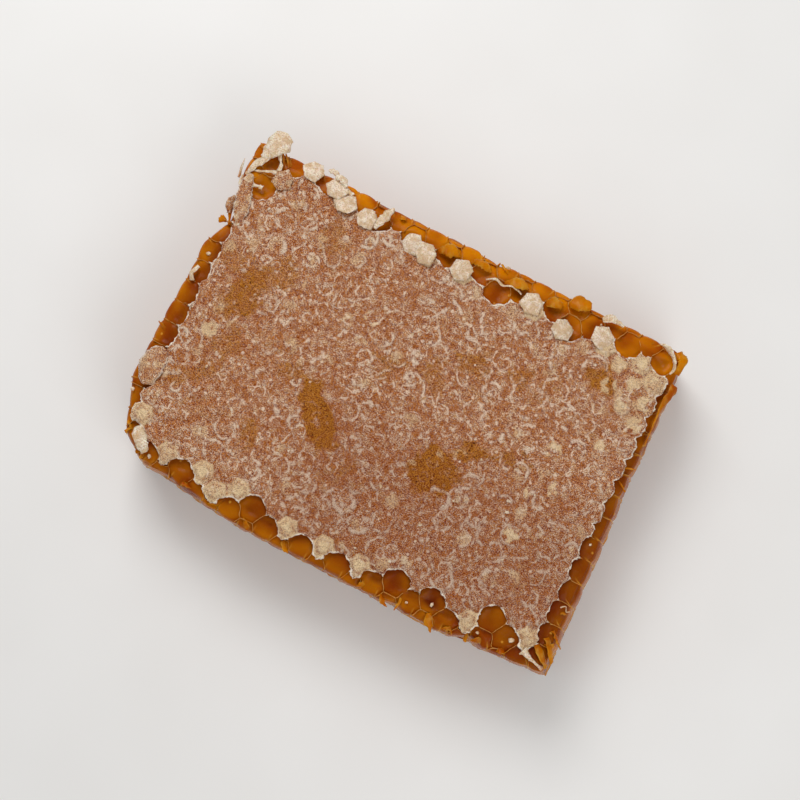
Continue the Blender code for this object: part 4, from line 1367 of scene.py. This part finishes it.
def make_cells(name, floor, rim, capped, shift, material, node):
    """One layer of honey cells: its cut faces and the honey that lies open at its rim."""
    up = 1 if rim > floor else -1
    centres = []
    for cell in all_cells():
        x, y = cell_centre(*cell)
        centres.append((x + shift - CELL_LEAN * OPEN_DEPTH, y))
    columns = cut_columns(rim, centres, random.Random(SEED))
    climb_reach = CLIMB_REACH if up > 0 else UNDER_CLIMB_REACH
    levels, wax, deep = [], [], []
    side_steps = round(abs(rim - floor) / SIDE_STEP)
    for step in range(side_steps):
        z = floor + (rim - up * SHOULDER - floor) * step / (side_steps - 1)
        depth, wall, drained = cut_depth(columns, z)
        levels.append(cut_ring(columns, z, 0.0, -CELL_LEAN * abs(rim - z), depth))
        wax.append(wall)
        # Painted shade on the cut face, more where it is drained and near its foot
        foot = 1 - smooth(abs(z - floor), 0, FOOT_REACH)
        deep.append(SIDE_SHADE + DRAINED_SHADE * drained + FOOT_SHADE * foot)
    insets = [SHOULDER * (1 - math.cos(angle)) for angle in SHOULDER_ANGLES]
    insets += list(np.arange(SHOULDER, RIM_REACH, RIM_STEP))
    lifts = [SHOULDER * (1 - math.sin(angle)) for angle in SHOULDER_ANGLES]
    lifts += [0.0] * (len(insets) - len(lifts))
    depth, wall, _ = cut_depth(columns, rim)
    for inset, lift in zip(insets, lifts):
        fade = 1 - smooth(inset, *RIM_FADE)
        ring = cut_ring(columns, rim, inset, 0.0, depth * fade)
        height, covered = open_field(ring[:, 0], ring[:, 1], inset, capped, shift, climb_reach)
        ring[:, 2] = rim + up * (height - lift)
        levels.append(ring)
        wax.append(wall * fade)
        # Painted shade on the open honey at the rim
        deep.append(open_shade(ring, inset, CLIMB * smooth(inset, 0.0, climb_reach) - height, covered))
    points = np.concatenate(levels + [levels[0].mean(0)[None], levels[-1].mean(0)[None]])
    faces = hubbed_faces(len(levels), len(columns["edge"]))
    add_piece(name, points, faces if up > 0 else [face[::-1] for face in faces], material,
              "honey_cells", [node], wax=np.concatenate(wax + [np.zeros(2)]),
              deep=np.concatenate(deep + [np.zeros(2)]))


def make_midrib(material):
    """The wax sheet between the layers, which runs in a zigzag along the cut."""
    centres = [cell_centre(*cell) for cell in all_cells()]
    columns = cut_columns(MIDRIB_LOW, centres, random.Random(SEED + 2))
    lobe = columns["lobe"] + columns["across"]
    zigzag = ZIGZAG * (2 * np.abs((lobe % 2) - 1) - 1)
    zigzag += ZIGZAG_LEAST * cut_ripple(lobe, 0, *ZIGZAG_UNEVEN)
    out = MIDRIB_OUT + MIDRIB_RAGGED * cut_ripple(lobe, 0, *MIDRIB_UNEVEN)
    middle = (MIDRIB_LOW + MIDRIB_HIGH) / 2
    levels = []
    for lift, inset in MIDRIB_RINGS:
        ring = cut_ring(columns, middle, inset, 0.0, out * (inset < MIDRIB_EDGE))
        ring[:, 2] = middle + lift + zigzag
        levels.append(ring)
    points, faces = loft_open(np.array(levels))
    add_piece("midrib_sheet", points, faces, material, "midrib_wax", ["midrib"],
              honeyed=MIDRIB_TONE + rough(points[:, 0], points[:, 1], MIDRIB_STAINS))


def clipped(a, b, outline):
    """First and last share of the way from a to b inside a convex outline, or None."""
    first, last = 0.0, 1.0
    for p, q in around(outline):
        side_a, side_b = side_of(p, q, a), side_of(p, q, b)
        if side_a < 0 and side_b < 0:
            return None
        if side_a < 0:
            first = max(first, side_a / (side_a - side_b))
        if side_b < 0:
            last = min(last, side_a / (side_a - side_b))
    return (first, last) if first < last else None


def thin_wall(line, tops, curl):
    """A closed upright wall along a line, thinner and curled at its ragged top."""
    along = np.gradient(line, axis=0)
    along /= np.linalg.norm(along, axis=1)[:, None]
    across = np.column_stack([-along[:, 1], along[:, 0]])
    rings = []
    for side, profile in ((1, WALL_PROFILE), (-1, WALL_PROFILE[::-1])):
        for share, width in profile:
            offset = side * width * WALL_THICK / 2 + curl * share ** 2
            spot = line + across * offset[:, None]
            rings.append(np.column_stack([spot, WALL_FOOT + (tops - WALL_FOOT) * share]))
    return loft_open(np.array(rings).transpose(1, 0, 2))


def loft_open(sections):
    """Points and faces of a closed body through sections that are rings of points."""
    quads, first, last = ring_faces(*sections.shape[:2])
    return sections.reshape(-1, 3), quads + [first[::-1], last]


def joined(parts):
    """Several bodies of points and faces as one."""
    points, faces, count = [], [], 0
    for part_points, part_faces in parts:
        points.append(part_points)
        faces += [[count + k for k in face] for face in part_faces]
        count += len(part_points)
    return np.concatenate(points), faces


def edge_distance(x, y, outline):
    """Distance of points from the nearest side of a convex outline, positive inside."""
    away = [((b[0] - a[0]) * (y - a[1]) - (b[1] - a[1]) * (x - a[0])) / math.dist(a, b)
            for a, b in around(outline)]
    return np.min(away, axis=0)


def make_walls(material):
    """Ragged wax walls between the opened cells, and skirts below the capping's edge."""
    capped = set(top_capped_cells())
    bows = border_bows(top_capped_cells())
    outline = knife_outline(UPPER_RIM, WALL_INSET)
    draw = random.Random(SEED + 3)
    parts, honeyed = [], []
    for column, row in all_cells():
        corners = hexagon(*cell_centre(column, row))
        for side, (a, b) in enumerate(around(corners)):
            other = beside(column, row, side)
            pair = ((column, row) in capped) + (other in capped)
            span = clipped(a, b, outline)
            is_skirt = pair == 1 and (column, row) in capped
            is_wall = pair == 0 and side < SIDES // 2
            if span is None or not (is_skirt or is_wall):
                continue
            first, last = span
            if (last - first) * math.dist(a, b) < WALL_LEAST:
                continue
            t = np.linspace(first, last, WALL_STEPS)
            line = np.array(a) + (np.array(b) - np.array(a)) * t[:, None]
            uneven = rough(line[:, 0], line[:, 1], WALL_NOISE)
            if is_skirt:
                bow = bows[column, row, side]
                outward = bow / max(np.linalg.norm(bow), TINY)
                outward = outward * (-1 if open_at_top(*other) else 1)
                line = line + (1 - (2 * t - 1) ** 2)[:, None] * bow - outward * SKIRT_INSET
                tops = np.full(WALL_STEPS, SKIRT_TOP)
                curl = SKIRT_CURL * uneven
            else:
                climb = CLIMB * smooth(edge_distance(line[:, 0], line[:, 1], outline), 0.0, CLIMB_REACH)
                tops = UPPER_RIM + climb + draw.uniform(*WALL_TOP) + WALL_RAGGED * uneven
                curl = rough(line[:, 0], line[:, 1], WALL_CURL)
            parts.append(thin_wall(line, tops, curl))
            height = (parts[-1][0][:, 2] - WALL_FOOT) / (tops.max() - WALL_FOOT)
            clears = SKIRT_CLEARS if is_skirt else WALL_CLEARS
            honeyed.append(WALL_HONEY - clears * smooth(height, *WALL_CLEAR_STEP))
    points, faces = joined(parts)
    add_piece("open_cell_walls", points, faces, material, "honey_cells", honeyed=np.concatenate(honeyed))


def hexagon_reach(angle, corners):
    """Distance from the centre to the sides of a hexagon with uneven corners."""
    sixth = math.tau / SIDES
    part = (angle % sixth) / sixth
    which = (angle // sixth).astype(int) % SIDES
    first, second = corners[which], corners[(which + 1) % SIDES]
    flat = first * second * math.sin(sixth)
    return flat / (first * np.sin(part * sixth) + second * np.sin((1 - part) * sixth))


def loose_cap(place, x, y, lift, radius, tilt_x, tilt_y):
    """One loose cap: a thin crumpled hexagon with a frayed edge that curls up on a side."""
    draw = random.Random(SEED + place)
    turn = Euler((math.radians(tilt_x), math.radians(tilt_y), place * LOOSE_CAP_TURN)).to_matrix()
    centre = np.array((LATTICE_X + x, LATTICE_Y + y, 0))
    centre[2] = HEIGHT + wave(centre[0], centre[1])[0] + lift + LOOSE_CAP_REST
    angle = np.arange(LOOSE_CAP_SPOKES) * math.tau / LOOSE_CAP_SPOKES
    corners = np.array([draw.uniform(*LOOSE_CAP_CORNERS) for _ in range(SIDES)])
    least, share_of_flat = LOOSE_CAP_REACH
    reach = radius * (least + share_of_flat * hexagon_reach(angle, corners))
    reach += sum(depth * ripple(angle * teeth, place, 1.0, seed) for depth, teeth, seed in LOOSE_CAP_FRAY)
    bend, lifted = draw.uniform(0, math.tau), draw.uniform(*LOOSE_CAP_CURL)
    outward = np.linspace(0, 1, LOOSE_CAP_RINGS)[1:]
    shares = np.concatenate([outward, outward[::-1]])
    faces_of = np.repeat((-1, 1), len(outward))
    rings = []
    for share, face in zip(shares, faces_of):
        flat_x, flat_y = reach * share * np.cos(angle), reach * share * np.sin(angle)
        high = LOOSE_CAP_CUP * (1 - share ** 2)
        high += lifted * share ** 3 * smooth(np.cos(angle - bend), 0.0, 1.0)
        high += face * LOOSE_CAP_THICK / 2 * (LOOSE_CAP_EDGE - share ** 4)
        high += rough(flat_x + place * LOOSE_CAP_SPREAD, flat_y, LOOSE_CAP_BUMPS)
        rings.append(np.column_stack([flat_x, flat_y, high]))
    hubs = [[(0, 0, ring[:, 2].mean())] for ring in (rings[0], rings[-1])]
    return np.concatenate(rings + hubs) @ np.array(turn).T + centre, hubbed_faces(len(rings), len(angle))


def make_loose_caps(material):
    """The pale caps that lie along the cut edges."""
    points, faces = joined([loose_cap(place, *values) for place, values in enumerate(LOOSE_CAPS)
                            if place != ROSY_CAP])
    add_piece("loose_caps", points, faces, material, "wax_capping", ["top_capping"],
              rosy=np.full(len(points), LOOSE_CAP_ROSY))


def ribbon(path, seed):
    """A thin sheet of wax along a smooth middle line, cupped and frayed at its sides."""
    path = np.array(path, float)
    spots = []
    for span in range(len(path) - 1):
        before, start, end, beyond = (path[min(max(span + k, 0), len(path) - 1)] for k in (-1, 0, 1, 2))
        for step in range(RIBBON_SMOOTH):
            t = step / RIBBON_SMOOTH
            spots.append(0.5 * (2 * start + (end - before) * t
                                + (2 * before - 5 * start + 4 * end - beyond) * t ** 2
                                + (3 * start - before - 3 * end + beyond) * t ** 3))
    spots = np.array(spots + [path[-1]])
    middle = spots[:, :3] + np.array((LATTICE_X, LATTICE_Y, 0))
    along = np.gradient(middle, axis=0)
    along /= np.linalg.norm(along, axis=1)[:, None]
    level = np.cross(along, (0, 0, 1))
    level /= np.maximum(np.linalg.norm(level, axis=1), TINY)[:, None]
    roll = np.radians(spots[:, 4])[:, None]
    across = level * np.cos(roll) + np.cross(level, along) * np.sin(roll)
    normal = np.cross(across, along)
    place = np.arange(len(spots))
    width = spots[:, 3] / 2
    depth = FRAY * np.minimum(1.0, FRAY_MOST / width)
    wave_height, wave_along, wave_across = RIBBON_WAVE
    sections = []
    for face in (-1, 1):
        for share in np.linspace(-1, 1, RIBBON_ACROSS) * -face:
            side = RIBBON_EDGE * np.sign(share)
            notches = NOTCH_DEPTH * np.abs(ripple(place, side, NOTCH_SIZE, seed))
            fray = 1 + abs(share) * depth * (ripple(place, side, FRAY_SIZE, seed + 2) - notches)
            cup = RIBBON_CUP * (1 - share ** 2)
            cup += wave_height * ripple(place * wave_along, share * wave_across, 1.0, seed + 1)
            thick = face * RIBBON_THICK / 2 * (1 - RIBBON_THINS * abs(share))
            sections.append(middle + across * (width * share * fray)[:, None]
                            + normal * (cup * np.minimum(width, 1.0) + thick)[:, None])
    return loft_open(np.array(sections).transpose(1, 0, 2))


def ribbon_sides(points):
    """How near each point of the joined ribbons is to the side of its ribbon."""
    across = np.tile(np.abs(np.linspace(-1, 1, RIBBON_ACROSS)), 2)
    return np.tile(smooth(across, *RIBBON_SIDE), len(points) // len(across))


def ribbons(paths, seed):
    """A ribbon for each path, each with a seed of its own."""
    return [ribbon(path, seed + place) for place, path in enumerate(paths)]


def sunk_in_honey(points, share, start, full):
    """How much honey covers each point, from none at one height to a share at a lower one."""
    return share * smooth(-points[:, 2], -start, -full)


def make_torn_wax(pale_material, amber_material, capping_material):
    """The torn sheets, strands and scraps at the corners and edges."""
    points, faces = joined(ribbons(PALE_SCRAPS, PALE_SEED))
    honeyed = sunk_in_honey(points, *SCRAP_HONEY) + rough(points[:, 0], points[:, 1], SCRAP_STAINS)
    add_piece("torn_wax", points, faces, pale_material, "wax_capping", ["upper_cells"],
              honeyed=np.clip(honeyed, 0, 1))
    scraps = joined(ribbons(ROSY_SCRAPS, ROSY_SEED))
    cap = loose_cap(ROSY_CAP, *LOOSE_CAPS[ROSY_CAP])
    points, faces = joined([scraps, cap])
    rim = np.concatenate([ROSY_RIM * ribbon_sides(scraps[0]), np.full(len(cap[0]), ROSY_CAP_RIM)])
    least, more = ROSY_PALE
    waves = smooth(rough(points[:, 0], points[:, 1], ROSY_WAVES), *ROSY_STEP)
    add_piece("torn_capping", points, faces, capping_material, "wax_capping", ["top_capping"],
              rim=rim, pale=least + more * waves)
    points, faces = joined(ribbons(AMBER_SCRAPS, AMBER_SEED) + ribbons(splinter_paths(), SPLINTER_SEED))
    streaks = rough(points[:, 0], points[:, 1], AMBER_STREAKS) + AMBER_EDGE * ribbon_sides(points)
    add_piece("torn_amber_wax", points, faces, amber_material, "honey_cells",
              wax=np.clip(streaks, 0, 1), deep=np.full(len(points), AMBER_DEEP))


def splinter_paths():
    """Middle lines of the flakes and splinters of amber wax that stand along the cut."""
    draw = random.Random(SEED + 6)
    paths = []
    outline = knife_outline(UPPER_RIM, SPLINTER_INSET)
    for _ in range(SPLINTERS):
        a, b = draw.choice(list(around(outline)))
        t = draw.random()
        x, y = a[0] + (b[0] - a[0]) * t - LATTICE_X, a[1] + (b[1] - a[1]) * t - LATTICE_Y
        turn, length = draw.uniform(0, math.tau), draw.uniform(*SPLINTER_LENGTH)
        step_x, step_y = math.cos(turn) * length / 2, math.sin(turn) * length / 2
        z = UPPER_RIM + draw.uniform(*SPLINTER_RISE)
        lean = draw.uniform(*SPLINTER_LEAN)
        width = draw.uniform(*SPLINTER_WIDTH)
        spots = ((x - step_x, y - step_y, z - lean), (x, y, z + SPLINTER_HUMP),
                 (x + step_x, y + step_y, z + lean))
        paths.append([(*spot, width * wide, roll) for spot, (wide, roll) in zip(spots, SPLINTER_SHAPE)])
    return paths


def crumb(spot, size, draw):
    """A small thin chip of wax with uneven corners."""
    turn = Euler([draw.uniform(-CRUMB_TILT, CRUMB_TILT), draw.uniform(-CRUMB_TILT, CRUMB_TILT),
                  draw.uniform(0, math.tau)])
    corners = draw.choice(CRUMB_CORNERS)
    arms = [size * draw.uniform(*CRUMB_ARMS) for _ in range(corners)]
    long = draw.uniform(*CRUMB_LONG)
    ring = [(long * arm * math.cos(math.tau * k / corners), arm * math.sin(math.tau * k / corners))
            for k, arm in enumerate(arms)]
    thick = CRUMB_THICK[0] * size + CRUMB_THICK[1]
    points = [(x * scale, y * scale, thick * level) for level, scale in CRUMB_LEVELS for x, y in ring]
    points += [(0, 0, thick * hub) for hub in CRUMB_HUBS]
    turned = np.array(points) @ np.array(turn.to_matrix()).T + np.array(spot)
    return turned, hubbed_faces(len(CRUMB_LEVELS), corners)


def make_crumbs(material):
    """Chips of wax on the capping and in the opened cells."""
    draw = random.Random(SEED + 5)
    capped = top_capped_cells()
    opened = [cell for cell in all_cells() if cell not in set(capped)
              and inside(cell_centre(*cell), knife_outline(UPPER_RIM, -CRUMB_OUTSET))]
    parts = []
    for place in range(CRUMBS_ON_TOP + CRUMBS_AT_CUT):
        on_top = place < CRUMBS_ON_TOP
        x, y = cell_centre(*draw.choice(capped if on_top else opened))
        x, y = x + draw.uniform(-CRUMB_SPREAD, CRUMB_SPREAD), y + draw.uniform(-CRUMB_SPREAD, CRUMB_SPREAD)
        z = HEIGHT + wave(x, y)[0] + CRUMB_LIFT if on_top else UPPER_RIM + CLIMB
        if on_top or inside((x, y), knife_outline(UPPER_RIM, CRUMB_INSET)):
            size = draw.uniform(*CRUMB_SIZE) * (CRUMB_ON_TOP_SIZE if on_top else 1.0)
            parts.append(crumb((x, y, z), size, draw))
    points, faces = joined(parts)
    add_piece("wax_crumbs", points, faces, material, "wax_capping",
              honeyed=sunk_in_honey(points, *CRUMB_HONEY))


def make_floor():
    """Plain pale floor under the piece."""
    mesh = bpy.data.meshes.new("floor")
    half = FLOOR_HALF * MM
    mesh.from_pydata([(-half, -half, 0), (half, -half, 0), (half, half, 0), (-half, half, 0)],
                     [], [(0, 1, 2, 3)])
    floor = bpy.data.objects.new("floor", mesh)
    bpy.context.scene.collection.objects.link(floor)
    paint = Paint("floor")
    tone = paint.mix(paint.grain(FLOOR_GRAIN), *FLOOR_TONES)
    mesh.materials.append(paint.finish(Base_Color=tone, Roughness=FLOOR_ROUGH))


def make_camera():
    """The photograph's view: nearly straight down, with the piece turned by 27 degrees."""
    right = Vector((math.cos(TURN), math.sin(TURN), 0))
    up = Vector((-math.sin(TURN), math.cos(TURN), 0))
    back = Vector((0, 0, 1)) * math.cos(CAMERA_TILT) - up * math.sin(CAMERA_TILT)
    aim = AIM + Vector((LATTICE_X, LATTICE_Y, 0))
    data = bpy.data.cameras.new("camera")
    data.sensor_width = SENSOR
    data.lens = SENSOR * CAMERA_AWAY / VIEW_WIDTH
    data.clip_start = CLIP_START
    camera = bpy.data.objects.new("camera", data)
    bpy.context.scene.collection.objects.link(camera)
    axes = Matrix((right, back.cross(right), back)).transposed().to_4x4()
    camera.matrix_world = Matrix.Translation((aim + back * CAMERA_AWAY) * MM) @ axes
    bpy.context.scene.camera = camera


def make_lights():
    """Two large soft lights and a pale sky."""
    for name, place, size, power in LIGHTS:
        data = bpy.data.lights.new(name, "AREA")
        data.size = size * MM
        data.energy = power
        light = bpy.data.objects.new(name, data)
        light.location = Vector(place) * MM
        light.rotation_euler = light.location.to_track_quat("Z", "Y").to_euler()
        bpy.context.scene.collection.objects.link(light)
    world = bpy.data.worlds.new("sky")
    world.use_nodes = True
    world.node_tree.nodes["Background"].inputs["Color"].default_value = (1, 1, 1, 1)
    world.node_tree.nodes["Background"].inputs["Strength"].default_value = SKY
    bpy.context.scene.world = world


def main():
    """Dresses the solids and sets up the view."""
    wax = capping_wax()
    gloss = honey()
    amber_wax = pale_wax("midrib_wax", *AMBER_WAX)
    make_top_capping(wax)
    make_under_capping(wax)
    top, under = set(top_capped_cells()), set(bottom_capped_cells())
    make_cells("upper_honey", MIDRIB_HIGH, UPPER_RIM, top, 0.0, gloss, "upper_cells")
    make_cells("lower_honey", MIDRIB_LOW, LOWER_RIM, under, LOWER_SHIFT_X, gloss, "lower_cells")
    make_midrib(amber_wax)
    make_walls(amber_wax)
    cream_wax = pale_wax("cream_wax", *CREAM_WAX)
    make_loose_caps(cream_wax)
    make_torn_wax(cream_wax, gloss, wax)
    make_crumbs(cream_wax)
    make_floor()
    make_lights()
    make_camera()


main()
bpy.context.scene.view_settings.view_transform = "Standard"
